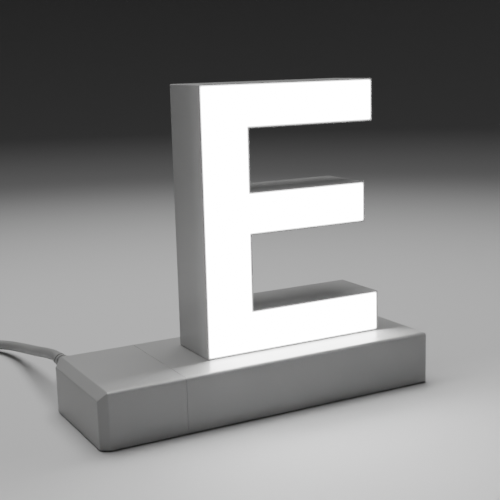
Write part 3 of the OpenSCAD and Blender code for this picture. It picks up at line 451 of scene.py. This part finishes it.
def face_plate():
    """Opal face with a soft front edge; "lit" is 0 at its border, in front of the ledge, and 1 within."""
    edge = RIM_W + PLATE_GAP
    flat = edge + FACE_EDGE
    profile = [(edge, LEDGE_Y)]
    profile += quarter((edge, FACE_RECESS + FACE_EDGE), (flat, FACE_RECESS), False, EDGE_STEPS)
    profile.append((flat + DIM_BAND, FACE_RECESS))
    rings = [letter_ring(inset, y) for inset, y in profile]
    plate = loft("face_plate", rings)
    lit = plate.data.attributes.new("lit", "FLOAT", "POINT")
    within = len(rings[0])
    border = within * (len(rings) - 1)
    lit.data.foreach_set("value", [0.0] * border + [1.0] * within)
    return shade(plate)


def back_cover():
    """Back cover of the letter, with softened edges and countersunk holes."""
    low, high = corners("letter_case")
    d, i = high.y - low.y, BACK_RIM + PLATE_GAP
    profile = [(i, d - COVER_T), *quarter((i, d - REAR_EDGE), (i + REAR_EDGE, d), False)]
    cover = loft("back_cover", [letter_ring(inset, y) for inset, y in profile])
    holes = [screw_hole(place, (0, 1, 0), COVER_T + CUT) for place in back_screw_places()]
    return shade(settle(cover, holes))


def letter_plug_place():
    """Place of the letter's plug: its tongue points down from the letter's underside."""
    at = centre("letter_pins")
    return Matrix.Translation(Vector((at.x, at.y, corners("letter_case")[0].z)) * MM)


def link_plug_place():
    """Place of the power block's plug: its tongue points along X from the seam."""
    at = centre("link_pins")
    seam = Vector((corners("end_housing")[1].x, at.y, at.z))
    return Matrix.Translation(seam * MM) @ Matrix.Rotation(-math.pi / 2, 4, "Y")


def tongue_ring(grow, z):
    """A tongue's outline as a ring in its plug's own frame, grown by a distance."""
    w, l = TONGUE_W / 2 + grow, TONGUE_L / 2 + grow
    flat = rounded(rectangle(w, l), TONGUE_CORNER + grow)
    return [(p.x, p.y, z) for p in flat]


def tongue_opening(place, low, high, gap, lead=0.0):
    """Cutter for a tongue's opening between two heights, with a lead-in at the surface if there is one."""
    profile = [(gap, low)]
    if lead:
        profile += [(gap, -lead), (gap + lead, 0)]
    profile.append((gap + lead, high))
    cutter = loft("cutter", [tongue_ring(grow, z) for grow, z in profile])
    cutter.data.transform(place)
    return cutter


def plug_tongue(name, place, wall, half_x, half_y, screws):
    """Moulded plug: a soft-tipped tongue on a flange behind its wall, bored for two pins and two screws."""
    profile = [*quarter((-TIP_R, -TONGUE_H), (0, TIP_R - TONGUE_H), True), (0, wall + FLANGE_T / 2)]
    tongue = loft(name, [tongue_ring(grow, z) for grow, z in profile])
    flange = block("flange", (-half_x, -half_y, wall), (half_x, half_y, wall + FLANGE_T))
    bore, through = PIN_R + FIT_GAP, TONGUE_H + wall + FLANGE_T + CUT
    mouth = [(bore + LEAD_IN, -CUT), (bore + LEAD_IN, 0), (bore, LEAD_IN), (bore, through)]
    bores = [lathe("cutter", mouth, (0, s * PIN_PITCH / 2, -TONGUE_H), (0, 0, 1)) for s in (-1, 1)]
    holes = [rod((x, y, wall - CUT), (0, 0, 1), SCREW_R + FIT_GAP, FLANGE_T + 2 * CUT) for x, y in screws]
    settle(tongue, [*bores, *holes], [flange])
    tongue.data.transform(place)
    return shade(tongue)


def letter_tongue():
    """Plug under the letter, with its screws beside the tongue's long sides."""
    low, high = corners("letter_plug")
    reach = TONGUE_W / 2 + FLANGE_SCREW
    half_x, half_y = (high.x - low.x) / 2, (high.y - low.y) / 2
    screws = [(-reach, 0), (reach, 0)]
    return plug_tongue("letter_tongue", letter_plug_place(), CASE_WALL, half_x, half_y, screws)


def link_tongue():
    """Plug of the power block, with its screws beyond the tongue's ends."""
    low, high = corners("link_plug")
    reach = TONGUE_L / 2 + FLANGE_SCREW
    half_x, half_y = (high.z - low.z) / 2, (high.y - low.y) / 2
    screws = [(0, -reach), (0, reach)]
    return plug_tongue("link_tongue", link_plug_place(), WALL, half_x, half_y, screws)


def floor_bosses(node, low):
    """Bosses over the floor screws of a housing, whose four places are the corners of the screws' box."""
    a, b = corners(node)
    places = [(x, y) for x in (a.x + HEAD_R, b.x - HEAD_R) for y in (a.y + HEAD_R, b.y - HEAD_R)]
    return [rod((x, y, low.z + FLOOR_T), (0, 0, 1), FLOOR_BOSS_R, FLOOR_BOSS_H) for x, y in places]


def base_shell():
    """Housing of the plinth: soft long edges and plain end, small bevel along the seam."""
    low, high = corners("base_housing")

    def radius(a, b):
        if same(a.z, low.z) and same(b.z, low.z):
            return UNDER_R
        if same(a.x, low.x) and same(b.x, low.x):
            return SEAM_R
        if same(a.z, high.z) and same(b.z, high.z):
            return EDGE_R
        return UPRIGHT_R

    shell = block("base_shell", low, high)
    soften(shell, radius)
    inner = Vector((WALL, WALL, 0))
    cavity = block("cavity", low + inner - Vector((0, 0, CUT)), high - inner - Vector((0, 0, WALL)))
    settle(cavity, floor_bosses("base_screws", low))
    openings = [tongue_opening(place, -WALL - CUT, CUT, TONGUE_GAP, LEAD_IN)
                for place in (letter_plug_place(), link_plug_place())]
    return shade(settle(shell, [cavity, *openings]))


def chamfered(name, low, high, cut_x, cut_y, cut_z):
    """Box whose end at low X has chamfers along its top and its two upright edges."""
    side, shoulder_z = high.y - cut_y, high.z - cut_z
    plan = [(low.x + cut_x, low.y), (high.x, low.y), (high.x, high.y), (low.x + cut_x, high.y)]
    under = [(x, y, low.z) for x, y in ((low.x, -side), *plan, (low.x, side))]
    shoulder = [(low.x, -side, shoulder_z), (low.x, side, shoulder_z)]
    top = [(x, y, high.z) for x, y in plan]
    a, b, c, d, e, f, left_a, left_f, top_b, top_c, top_d, top_e = range(12)
    faces = [
        (a, b, c, d, e, f), (a, f, left_f, left_a), (a, b, top_b, left_a), (left_a, top_b, top_e, left_f),
        (b, c, top_c, top_b), (top_b, top_c, top_d, top_e), (c, d, top_d, top_c), (d, e, top_e, top_d),
        (e, f, left_f, top_e),
    ]
    return mesh_piece(name, under + shoulder + top, faces)


def end_shell():
    """Housing of the power block, chamfered at its free end."""
    low, high = corners("end_housing")

    def radius(a, b):
        if same(a.z, low.z) and same(b.z, low.z):
            return UNDER_R
        if same(a.x, high.x) and same(b.x, high.x):
            return SEAM_R
        along = same(a.y, b.y) and same(abs(a.y), high.y)
        if along and same(a.z, high.z) and same(b.z, high.z):
            return EDGE_R
        return CHAMFER_R

    shell = chamfered("end_shell", low, high, CHAMFER, CHAMFER_SIDE, CHAMFER)
    soften(shell, radius)
    inner_low = Vector((low.x + WALL, low.y + WALL, low.z - CUT))
    inner_high = Vector((high.x - WALL, high.y - WALL, high.z - WALL))
    cavity = chamfered("cavity", inner_low, inner_high, CAVITY_CHAMFER, CAVITY_CHAMFER, CAVITY_CHAMFER)
    settle(cavity, floor_bosses("end_screws", low))
    link = tongue_opening(link_plug_place(), -CUT, WALL + CUT, PLATE_GAP)
    pin = centre("link_pins")
    reach = TONGUE_L / 2 + FLANGE_SCREW
    holes = [screw_hole((high.x, pin.y + s * reach, pin.z), (1, 0, 0), WALL + CUT) for s in (-1, 1)]
    cord_at = (CORD_START[0], high.y - WALL - CUT, LEAD_POINTS[0][2])
    cord = rod(cord_at, (0, 1, 0), CORD_HOLE_R, WALL + 2 * CUT)
    return shade(settle(shell, [cavity, link, cord, *holes]))


def switch_ring(inset, z):
    """The in-line switch's outline as a ring in the frame, drawn in by a distance."""
    at = centre("switch_upper")
    l, w = SWITCH_L / 2 - inset, SWITCH_W / 2 - inset
    flat = rounded(rectangle(l, w), SWITCH_CORNER - inset, 2 * CORNER_STEPS)
    return [(at.x + p.x, at.y + p.y, z) for p in flat]


def opening_ring(grow, z):
    """The rocker's opening as a ring in the frame."""
    at = centre("switch_upper")
    l = ROCKER_L / 2 + ROCKER_GAP + grow
    w = ROCKER_W / 2 + ROCKER_SIDE_GAP + grow
    return [(at.x + x, at.y + y, z) for x, y in rectangle(l, w)]


def switch_top():
    """Upper half of the in-line switch, with the rocker's opening and its bearing ears."""
    at = centre("switch_upper")
    profile = [(SWITCH_WALL, SWITCH_H - SWITCH_WALL), (SWITCH_WALL, SWITCH_SPLIT)]
    profile += [(SWITCH_SEAM, SWITCH_SPLIT), (0, SWITCH_SPLIT + SWITCH_SEAM)]
    profile += quarter((0, SWITCH_H - SWITCH_EDGE), (SWITCH_EDGE, SWITCH_H), False)
    shell = loft("switch_top", [switch_ring(inset, z) for inset, z in profile])
    opening = loft("cutter", [opening_ring(0, z) for z in (SWITCH_SPLIT, SWITCH_H + CUT)])
    slope = ((0, SWITCH_H - LIP_DROP), (LIP_DROP + CUT, SWITCH_H + CUT))
    lip = loft("cutter", [opening_ring(grow, z) for grow, z in slope])
    ears = []
    for s in (-1, 1):
        y = at.y + s * (ROCKER_W / 2 + ROCKER_SIDE_GAP + EAR_T / 2)
        ears.append(block("ear", (at.x - EAR_T, y - EAR_T / 2, PIVOT_Z - EAR_T),
                          (at.x + EAR_T, y + EAR_T / 2, SWITCH_H - SWITCH_WALL / 2)))
    places = [(at.x + s * SWITCH_SCREW_X, at.y, SWITCH_SPLIT) for s in (-1, 1)]
    bosses = [rod(place, (0, 0, 1), BOSS_R, SWITCH_H - SWITCH_SPLIT - CUT) for place in places]
    return shade(settle(shell, [opening, lip], [*ears, *bosses]))


def switch_bottom():
    """Lower half of the in-line switch, with its countersunk screw holes."""
    at = centre("switch_lower")
    profile = [(SWITCH_WALL, SWITCH_WALL), (SWITCH_WALL, SWITCH_SPLIT)]
    profile += [(SWITCH_SEAM, SWITCH_SPLIT), (0, SWITCH_SPLIT - SWITCH_SEAM)]
    profile += quarter((0, SWITCH_UNDER), (SWITCH_UNDER, 0), False)
    shell = loft("switch_bottom", [switch_ring(inset, z) for inset, z in profile])
    places = [(at.x + s * SWITCH_SCREW_X, at.y) for s in (-1, 1)]
    foot = SWITCH_WALL / 2
    bosses = [rod((x, y, foot), (0, 0, 1), BOSS_R, SWITCH_SPLIT - foot) for x, y in places]
    holes = [screw_hole((x, y, 0), (0, 0, -1), SWITCH_H) for x, y in places]
    return shade(settle(shell, holes, bosses))


def rocker_height(x):
    """Height of the rocker's hollow top over its pivot."""
    return ROCKER_DIP + (ROCKER_CROWN - ROCKER_DIP) * (2 * x / ROCKER_L) ** 2


def rocker_place(x=0.0, z=0.0, lean=0.0):
    """Transform from a place on the tilted rocker to the frame, in metres."""
    at = centre("switch_upper")
    pivot = Matrix.Translation(Vector((at.x, at.y, PIVOT_Z)) * MM)
    turn = Matrix.Rotation(math.radians(ROCKER_TILT), 4, "Y")
    return pivot @ turn @ Matrix.Translation(Vector((x, 0, z)) * MM) @ Matrix.Rotation(lean, 4, "Y")


def rocker():
    """Rocker with a hollow top, softened edges and a keel round its pin."""
    l, w = ROCKER_L / 2, ROCKER_W / 2
    top = [-l + ROCKER_L * k / ROCKER_STEPS for k in range(ROCKER_STEPS + 1)]
    outline = [(x, rocker_height(x)) for x in top]
    outline += [(l, -ROCKER_SKIRT), (ROCKER_KEEL_W, -ROCKER_KEEL)]
    outline += [(-ROCKER_KEEL_W, -ROCKER_KEEL), (-l, -ROCKER_SKIRT)]
    made = loft("rocker", [[(x, y, z) for x, z in outline] for y in (-w, w)])

    def radius(a, b):
        return ROCKER_EDGE if same(a.y, b.y) or same(abs(a.x), l) else 0

    soften(made, radius, segments=4)
    settle(made)
    made.data.transform(rocker_place())
    return shade(made)


def set_on_rocker(mark, x):
    """Sets a raised mark, made round the origin, on the rocker's top."""
    slope = math.atan((rocker_height(x + CUT) - rocker_height(x - CUT)) / (2 * CUT))
    mark.data.transform(rocker_place(x, rocker_height(x), -slope))
    return shade(mark)


def mark_on():
    """Raised bar at the rocker's on end."""
    l, w = MARK_L / 2, MARK_W / 2
    outline = rounded(rectangle(w, l), w * MARK_ROUND)
    profile = [(1, -MARK_LIFT), (1, MARK_LIFT / 2), (MARK_TOP, MARK_LIFT)]
    rings = [[(p.x * size, p.y * size, z) for p in outline] for size, z in profile]
    return set_on_rocker(loft("mark_on", rings), MARK_X)


def mark_off():
    """Raised ring at the rocker's off end."""
    inner, outer = MARK_L / 2 - MARK_W, MARK_L / 2
    profile = [
        (inner, -MARK_LIFT), (outer, -MARK_LIFT), (outer, MARK_LIFT / 2), (outer - MARK_LIFT, MARK_LIFT),
        (inner + MARK_LIFT, MARK_LIFT), (inner, MARK_LIFT / 2),
    ]
    return set_on_rocker(lathe("mark_off", profile, (0, 0, 0), (0, 0, 1), closed=True), -MARK_X)


def plug_section(t):
    """Half width and half thickness of the plug at a distance from its cable end, on a smooth curve."""
    k = max(i for i, row in enumerate(PLUG_SECTIONS[:-1]) if row[0] <= t)
    rows = [PLUG_SECTIONS[max(0, min(len(PLUG_SECTIONS) - 1, k + i))] for i in (-1, 0, 1, 2)]
    span = rows[2][0] - rows[1][0]
    u = (t - rows[1][0]) / span
    out = []
    for axis in (1, 2):
        leave = (rows[2][axis] - rows[0][axis]) / max(span, rows[2][0] - rows[0][0]) * span
        arrive = (rows[3][axis] - rows[1][axis]) / max(span, rows[3][0] - rows[1][0]) * span
        value = rows[1][axis] * (1 - ease(u)) + rows[2][axis] * ease(u)
        out.append(value + leave * u * (1 - u) ** 2 - arrive * u * u * (1 - u))
    return out


def plug_shell():
    """Flat two-pin plug: a ribbed neck that swells into a broad face with soft edges."""
    low, high = corners("plug_body")
    at = Vector(((low.x + high.x) / 2, high.y, (low.z + high.z) / 2))
    rings = []
    for k in range(PLUG_RINGS + 1):
        t = PLUG_L * (1 - (1 - k / PLUG_RINGS) ** PLUG_CROWD)
        w, h = plug_section(t)
        if RIB_START < t < RIB_END:
            groove = RIB_DEPTH * (0.5 - 0.5 * math.cos(2 * math.pi * (t - RIB_START) / RIB_PITCH))
            w, h = w - groove, h - groove
        power = 2 / (2 + PLUG_SQUARE * ease(t / RIB_END))
        ring = []
        for a in round_angles(LATHE_SIDES):
            c, s = math.cos(a), math.sin(a)
            x = math.copysign(abs(c) ** power, c) * w
            z = math.copysign(abs(s) ** power, s) * h
            ring.append((at.x + x, at.y - t, at.z + z))
        rings.append(ring)
    return shade(loft("plug_shell", rings))


def strap_path(half, rise):
    """Loop round the coil's turns, in even steps."""
    loop = [(half, rise), (-half, rise), (-half, -rise), (half, -rise)]
    loop = rounded(loop, STRAP_CORNER, STRAP_CORNER_STEPS)
    path = []
    for a, b in zip(loop, loop[1:] + loop[:1]):
        steps = max(1, round((b - a).length / STRAP_STEP))
        path += [a + (b - a) * k / steps for k in range(steps)]
    return path


def strap():
    """Strap round the coil, with its rounded end laid over its start."""
    low, high = corners("coil_tie")
    mid, size = (low + high) / 2, high - low
    path = strap_path((size.x - STRAP_T) / 2, (size.z - STRAP_T) / 2)
    count, lap = len(path), round(STRAP_LAP / STRAP_STEP)
    width = size.y / 2
    rings = []
    for k in range(count + lap + 1):
        here, before, after = (path[(k + step) % count] for step in (0, -1, 1))
        along = (after - before).normalized()
        out = Vector((along.y, -along.x))
        spot = here + out * STRAP_T * LAP_LIFT * ease((k - count + lap / 2) / (lap / 2))
        left = (count + lap - k) * STRAP_STEP
        w = width
        if left <= width:
            w = math.sqrt(max(STRAP_TIP ** 2, width ** 2 - (width - left) ** 2))
        flat = rounded(rectangle(w, STRAP_T / 2), STRAP_EDGE, STRAP_EDGE_STEPS)
        ring = [(spot.x + out.x * p.y, p.x, spot.y + out.y * p.y) for p in flat]
        rings.append([mid + Vector(p) for p in ring])
    return shade(loft("strap", rings))


# Materials

def feed(tree, made, sockets):
    """Gives a node's sockets their values, or links them to other nodes' outputs."""
    for name, value in sockets.items():
        socket = made.inputs[name.replace("_", " ")]
        if isinstance(value, bpy.types.NodeSocket):
            tree.links.new(value, socket)
        else:
            socket.default_value = value
    return made


def node(tree, kind, **sockets):
    """New shader node."""
    return feed(tree, tree.nodes.new("ShaderNode" + kind), sockets)


def join(tree, **sockets):
    """Sets the main shader's sockets."""
    feed(tree, tree.nodes["Principled BSDF"], sockets)


def own_place(tree):
    """A piece's own coordinates, in metres."""
    return node(tree, "TexCoord").outputs["Object"]


def noise(tree, size_mm, detail, stretch=(1, 1, 1)):
    """Noise over the piece, with blotches of about a size in millimetres."""
    place = own_place(tree)
    if stretch != (1, 1, 1):
        place = node(tree, "Mapping", Vector=place, Scale=stretch).outputs[0]
    return node(tree, "TexNoise", Vector=place, Scale=1 / (size_mm * MM), Detail=detail).outputs[0]


def spread(tree, factor, low, high):
    """Number between two values, led by the middle of a noise."""
    made = node(tree, "MapRange", Value=factor, From_Min=NOISE_LOW, From_Max=NOISE_HIGH,
                To_Min=low, To_Max=high)
    return made.outputs[0]


def ramp(tree, factor, stops):
    """Colour along a ramp, whose stops are rising places with their colours."""
    made = node(tree, "ValToRGB", Fac=factor)
    elements = made.color_ramp.elements
    for place, _ in stops[1:-1]:
        elements.new(place)
    for element, (place, colour) in zip(elements, stops):
        element.position = place
        element.color = (*colour, 1)
    return made.outputs[0]


def shades(tree, factor, dark, light):
    """Colour between two shades, led by the middle of a noise."""
    return ramp(tree, factor, [(NOISE_LOW, dark), (NOISE_HIGH, light)])


def dented(tree, height, depth_mm, under=None):
    """Bump of a depth in millimetres, over another bump if there is one."""
    made = node(tree, "Bump", Height=height, Distance=depth_mm * MM, Strength=1.0)
    if under:
        tree.links.new(under, made.inputs["Normal"])
    return made.outputs[0]


def tinted(colour, share):
    """A colour made darker or lighter."""
    return tuple(min(1.0, c * share) for c in colour)


def new_look(slot):
    """New material for a record slot; gives its shader tree."""
    made = bpy.data.materials.new("look_" + slot)
    made.use_nodes = True
    looks[slot] = made
    return made.node_tree


def plastic(slot, colour, rough, grain_mm, depth_mm, mottle=0.03, smudge_mm=24, uneven=0.045):
    """Moulded plastic: faint mottling, patches that are a little duller, and the grain of the mould."""
    tree = new_look(slot)
    cloud = noise(tree, smudge_mm * 2, detail=2)
    smudge = noise(tree, smudge_mm, detail=5)
    grain = dented(tree, noise(tree, grain_mm, detail=2), depth_mm)
    swell = dented(tree, noise(tree, smudge_mm, detail=1), depth_mm * SWELL, grain)
    join(tree, Base_Color=shades(tree, cloud, tinted(colour, 1 - mottle), tinted(colour, 1 + mottle)),
         Roughness=spread(tree, smudge, rough - uneven, rough + uneven), Normal=swell, IOR=1.5)
    return tree


def letter_plastic_painted_glow():
    """Plastic of the letter's walls with a glow, brightest beside the lit face: partly light let through,
    partly painted light that lifts the walls' shade.
    """
    tree = plastic("letter_shell", LETTER_GREY, rough=0.2, grain_mm=0.9, depth_mm=0.002,
                   mottle=0.02, uneven=0.02)
    low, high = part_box("letter_case")
    depth = node(tree, "SeparateXYZ", Vector=own_place(tree)).outputs["Y"]
    share = node(tree, "MapRange", Value=depth, From_Min=low.y, From_Max=high.y).outputs[0]
    # painted light: emission on the walls, falling from front to back, that lifts their shade along with the
    # light let through
    painted_glow = zip((0, PAINTED_GLOW_BEND, 1), (grey(light) for light in PAINTED_GLOW_SHARES))
    join(tree, Emission_Color=ramp(tree, share, list(painted_glow)), Emission_Strength=SHELL_PAINTED_GLOW)


def metal(slot, colour, rough):
    """Turned or drawn metal: fine rings of duller and brighter metal, and a little tarnish."""
    tree = new_look(slot)
    rings = noise(tree, size_mm=0.12, detail=2, stretch=(1, 1, 4))
    tarnish = noise(tree, size_mm=3, detail=4)
    join(tree, Base_Color=shades(tree, tarnish, dark=tinted(colour, share=0.86), light=colour), Metallic=1.0,
         Roughness=spread(tree, rings, low=rough - 0.05, high=rough + 0.07),
         Normal=dented(tree, rings, depth_mm=0.0015))


def opal_face():
    """Lit opal face: even white light through satin plastic, dimmer in front of the ledge."""
    tree = new_look("opal_face")
    lit = node(tree, "Attribute")
    lit.attribute_name = "lit"
    light = ramp(tree, lit.outputs["Fac"], [(0, grey(EDGE_LIGHT)), (1, grey(1))])
    cloud = noise(tree, size_mm=30, detail=2)
    smudge = noise(tree, size_mm=12, detail=4)
    grain = noise(tree, size_mm=0.5, detail=2)
    join(tree, Base_Color=shades(tree, cloud, dark=grey(0.86), light=grey(0.9)),
         Roughness=spread(tree, smudge, low=0.28, high=0.36), Normal=dented(tree, grain, depth_mm=0.006),
         Emission_Color=light, Emission_Strength=FACE_GLOW)


def board(slot, mask, copper, pitch_mm):
    """Circuit board: solder mask over raised tracks."""
    tree = new_look(slot)
    cells = node(tree, "TexVoronoi", Vector=own_place(tree), Scale=1 / (pitch_mm * MM))
    cells.distance = "MANHATTAN"
    cells.feature = "F1"
    tracks = cells.outputs["Distance"]
    smudge = noise(tree, size_mm=4, detail=3)
    join(tree, Base_Color=shades(tree, tracks, mask, copper), Normal=dented(tree, tracks, depth_mm=0.05),
         Roughness=spread(tree, smudge, low=0.3, high=0.42))


def clear_lens():
    """Clear moulded lens with a faint haze."""
    tree = new_look("led_lens")
    haze = noise(tree, size_mm=2, detail=3)
    join(tree, Base_Color=shades(tree, haze, dark=(0.94, 0.96, 0.96), light=grey(1)), IOR=1.49,
         Roughness=spread(tree, haze, low=0.03, high=0.1), Transmission_Weight=1.0)


def woven(slot, dark, light, pitch_mm):
    """Woven strap: two sets of crossing threads."""
    tree = new_look(slot)
    threads = node(tree, "Math")
    threads.operation = "MULTIPLY"
    for socket, direction in zip(threads.inputs, ("Y", "DIAGONAL")):
        wave = node(tree, "TexWave", Vector=own_place(tree), Scale=WAVE_SCALE / (pitch_mm * MM))
        wave.bands_direction = direction
        tree.links.new(wave.outputs["Fac"], socket)
    height = threads.outputs[0]
    fluff = noise(tree, size_mm=3, detail=3)
    join(tree, Base_Color=shades(tree, height, dark, light), Normal=dented(tree, height, depth_mm=0.12),
         Roughness=spread(tree, fluff, low=0.75, high=0.9), Sheen_Weight=0.3, Sheen_Roughness=0.5)


def dress(piece, slot):
    """Gives a new piece its record slot and that slot's material."""
    piece.data.materials.clear()
    piece.data.materials.append(looks[slot])
    return piece


def fit(piece, body, cad_node, slot):
    """Puts a new piece on a body, in place of a CAD node."""
    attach(piece, body)
    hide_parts(cad_node)
    return dress(piece, slot)


# Stage and light

def floor_paper_painted_falloff():
    """Dull paper whose grey darkens away from the middle, a painted shade standing for light that falls off.
    """
    made = bpy.data.materials.new("floor_paper_painted_falloff")
    made.use_nodes = True
    tree = made.node_tree
    away = node(tree, "VectorMath", Vector=own_place(tree))
    away.operation = "LENGTH"
    far = node(tree, "MapRange", Value=away.outputs["Value"], From_Min=PAINTED_FALLOFF_START, From_Max=PAINTED_FALLOFF_END)
    far.interpolation_type = "SMOOTHSTEP"
    # painted shade: the grey darkens away from the middle, as the light's fall-off would
    painted_falloff = ramp(tree, far.outputs[0], [(0, grey(FLOOR_GREY)), (1, grey(PAINTED_WALL_SHADE_GREY))])
    join(tree, Base_Color=painted_falloff, Roughness=0.75, Specular_IOR_Level=0.3)
    return made


def stage():
    """Pale seamless floor that fades by painted shade into a darker wall."""
    profile = [(HUB_R, 0), (FLAT_R / 2, 0)]
    profile += quarter((FLAT_R, 0), (FLAT_R + CURVE_R, CURVE_R), True, CURVE_STEPS)
    profile.append((FLAT_R + CURVE_R, WALL_TOP))
    spokes = [(math.cos(a), math.sin(a)) for a in round_angles(FLOOR_SIDES)]
    floor = loft("floor", [[Vector((r * x, r * y, z)) / MM for x, y in spokes] for r, z in profile])
    shape = bmesh.new()
    shape.from_mesh(floor.data)
    lid = [face for face in shape.faces if face.calc_center_median().z > WALL_TOP - MM]
    bmesh.ops.delete(shape, geom=lid, context="FACES")
    shape.to_mesh(floor.data)
    shape.free()
    floor.data.polygons.foreach_set("use_smooth", [True] * len(floor.data.polygons))
    floor.data.materials.append(floor_paper_painted_falloff())


def softbox(name, at, aim, size, power):
    """Square soft light at a place, turned to a point."""
    data = bpy.data.lights.new(name, "AREA")
    data.size = size
    data.energy = power
    light = add_object(name, data)
    light.location = at
    light.rotation_euler = (Vector(aim) - Vector(at)).to_track_quat("-Z", "Y").to_euler()


def studio():
    """Plain soft light: a softbox above, a broad one for the room, and a little grey all round."""
    softbox("key", KEY_AT, KEY_AIM, KEY_SIZE, KEY_POWER)
    softbox("room", ROOM_AT, ROOM_AIM, ROOM_SIZE, ROOM_POWER)
    world = bpy.data.worlds.new("studio")
    world.use_nodes = True
    world.node_tree.nodes["Background"].inputs["Strength"].default_value = WORLD_LIGHT
    bpy.context.scene.world = world


# Looks of the record's material slots
letter_plastic_painted_glow()
plastic("plinth_shell", PLINTH_GREY, rough=0.34, grain_mm=0.35, depth_mm=0.006, mottle=0.025, uneven=0.015)
plastic("inner_plastic", grey(0.3), rough=0.48, grain_mm=0.5, depth_mm=0.008)
plastic("led_chip", (0.85, 0.66, 0.18), rough=0.4, grain_mm=0.3, depth_mm=0.01)
plastic("rubber_foot", (0.045, 0.045, 0.047), rough=0.78, grain_mm=0.3, depth_mm=0.02, mottle=0.1)
plastic("ferrite", (0.05, 0.048, 0.046), rough=0.6, grain_mm=0.25, depth_mm=0.03, mottle=0.12)
plastic("winding_tape", (0.72, 0.42, 0.06), rough=0.32, grain_mm=1.5, depth_mm=0.02, mottle=0.08)
plastic("black_package", (0.02, 0.02, 0.021), rough=0.45, grain_mm=0.2, depth_mm=0.012, mottle=0.1)
plastic("terminal_green", (0.06, 0.32, 0.12), rough=0.42, grain_mm=0.4, depth_mm=0.008)
plastic("red_insulation", (0.42, 0.02, 0.02), rough=0.4, grain_mm=0.6, depth_mm=0.006)
plastic("brown_insulation", (0.16, 0.06, 0.025), rough=0.4, grain_mm=0.6, depth_mm=0.006)
plastic("cord_sheath", CORD_GREY, rough=0.36, grain_mm=1.2, depth_mm=0.01, smudge_mm=14)
plastic("switch_shell", SHELL_GREY, rough=0.34, grain_mm=0.35, depth_mm=0.006, mottle=0.02, smudge_mm=14)
plastic("rocker", grey(0.36), rough=0.24, grain_mm=0.6, depth_mm=0.003, mottle=0.02, smudge_mm=8)
plastic("plug_shell", SHELL_GREY, rough=0.38, grain_mm=0.5, depth_mm=0.008, mottle=0.02, smudge_mm=14)
plastic("pin_sleeve", grey(0.6), rough=0.4, grain_mm=0.5, depth_mm=0.006)
metal("steel_screw", (0.62, 0.61, 0.6), rough=0.3)
metal("brass", (0.78, 0.6, 0.28), rough=0.26)
metal("capacitor_can", (0.12, 0.24, 0.42), rough=0.34)
board("light_board", mask=(0.78, 0.8, 0.78), copper=(0.66, 0.68, 0.64), pitch_mm=6)
board("driver_board", mask=(0.02, 0.14, 0.06), copper=(0.05, 0.22, 0.09), pitch_mm=5)
woven("tie_strap", dark=(0.03, 0.03, 0.032), light=(0.1, 0.1, 0.105), pitch_mm=1.1)
opal_face()
clear_lens()

camera()

# Pieces on their bodies; all but the rocker's marks take the place of a CAD node
lead = fit(cord_curve("lead", lead_path()), "power_block", "cord_lead", "cord_sheath")
coil = fit(cord_curve("coil", coil_path()), "power_block", "cord_coil", "cord_sheath")
fit(base_shell(), "plinth", "base_housing", "plinth_shell")
fit(end_shell(), "power_block", "end_housing", "plinth_shell")
fit(letter_walls(), "letter", "letter_case", "letter_shell")
fit(face_plate(), "letter", "face_diffuser", "opal_face")
fit(back_cover(), "letter", "letter_back", "letter_shell")
fit(letter_tongue(), "letter", "letter_plug", "inner_plastic")
fit(link_tongue(), "power_block", "link_plug", "inner_plastic")
switch_pieces = [
    fit(switch_top(), "power_block", "switch_upper", "switch_shell"),
    fit(switch_bottom(), "power_block", "switch_lower", "switch_shell"),
    fit(rocker(), "rocker", "switch_rocker", "rocker"),
]
for mark in (mark_on(), mark_off()):
    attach(mark, "rocker")
    switch_pieces.append(dress(mark, "rocker"))
plug = fit(plug_shell(), "power_block", "plug_body", "plug_shell")
tie = fit(strap(), "power_block", "coil_tie", "tie_strap")

# CAD nodes that show themselves
for subpart in record["subparts"]:
    carried = nodes[subpart["node"]]
    if not carried.hide_render:
        carried.material_slots[0].material = looks[subpart["material_slot"]]

stage()
studio()
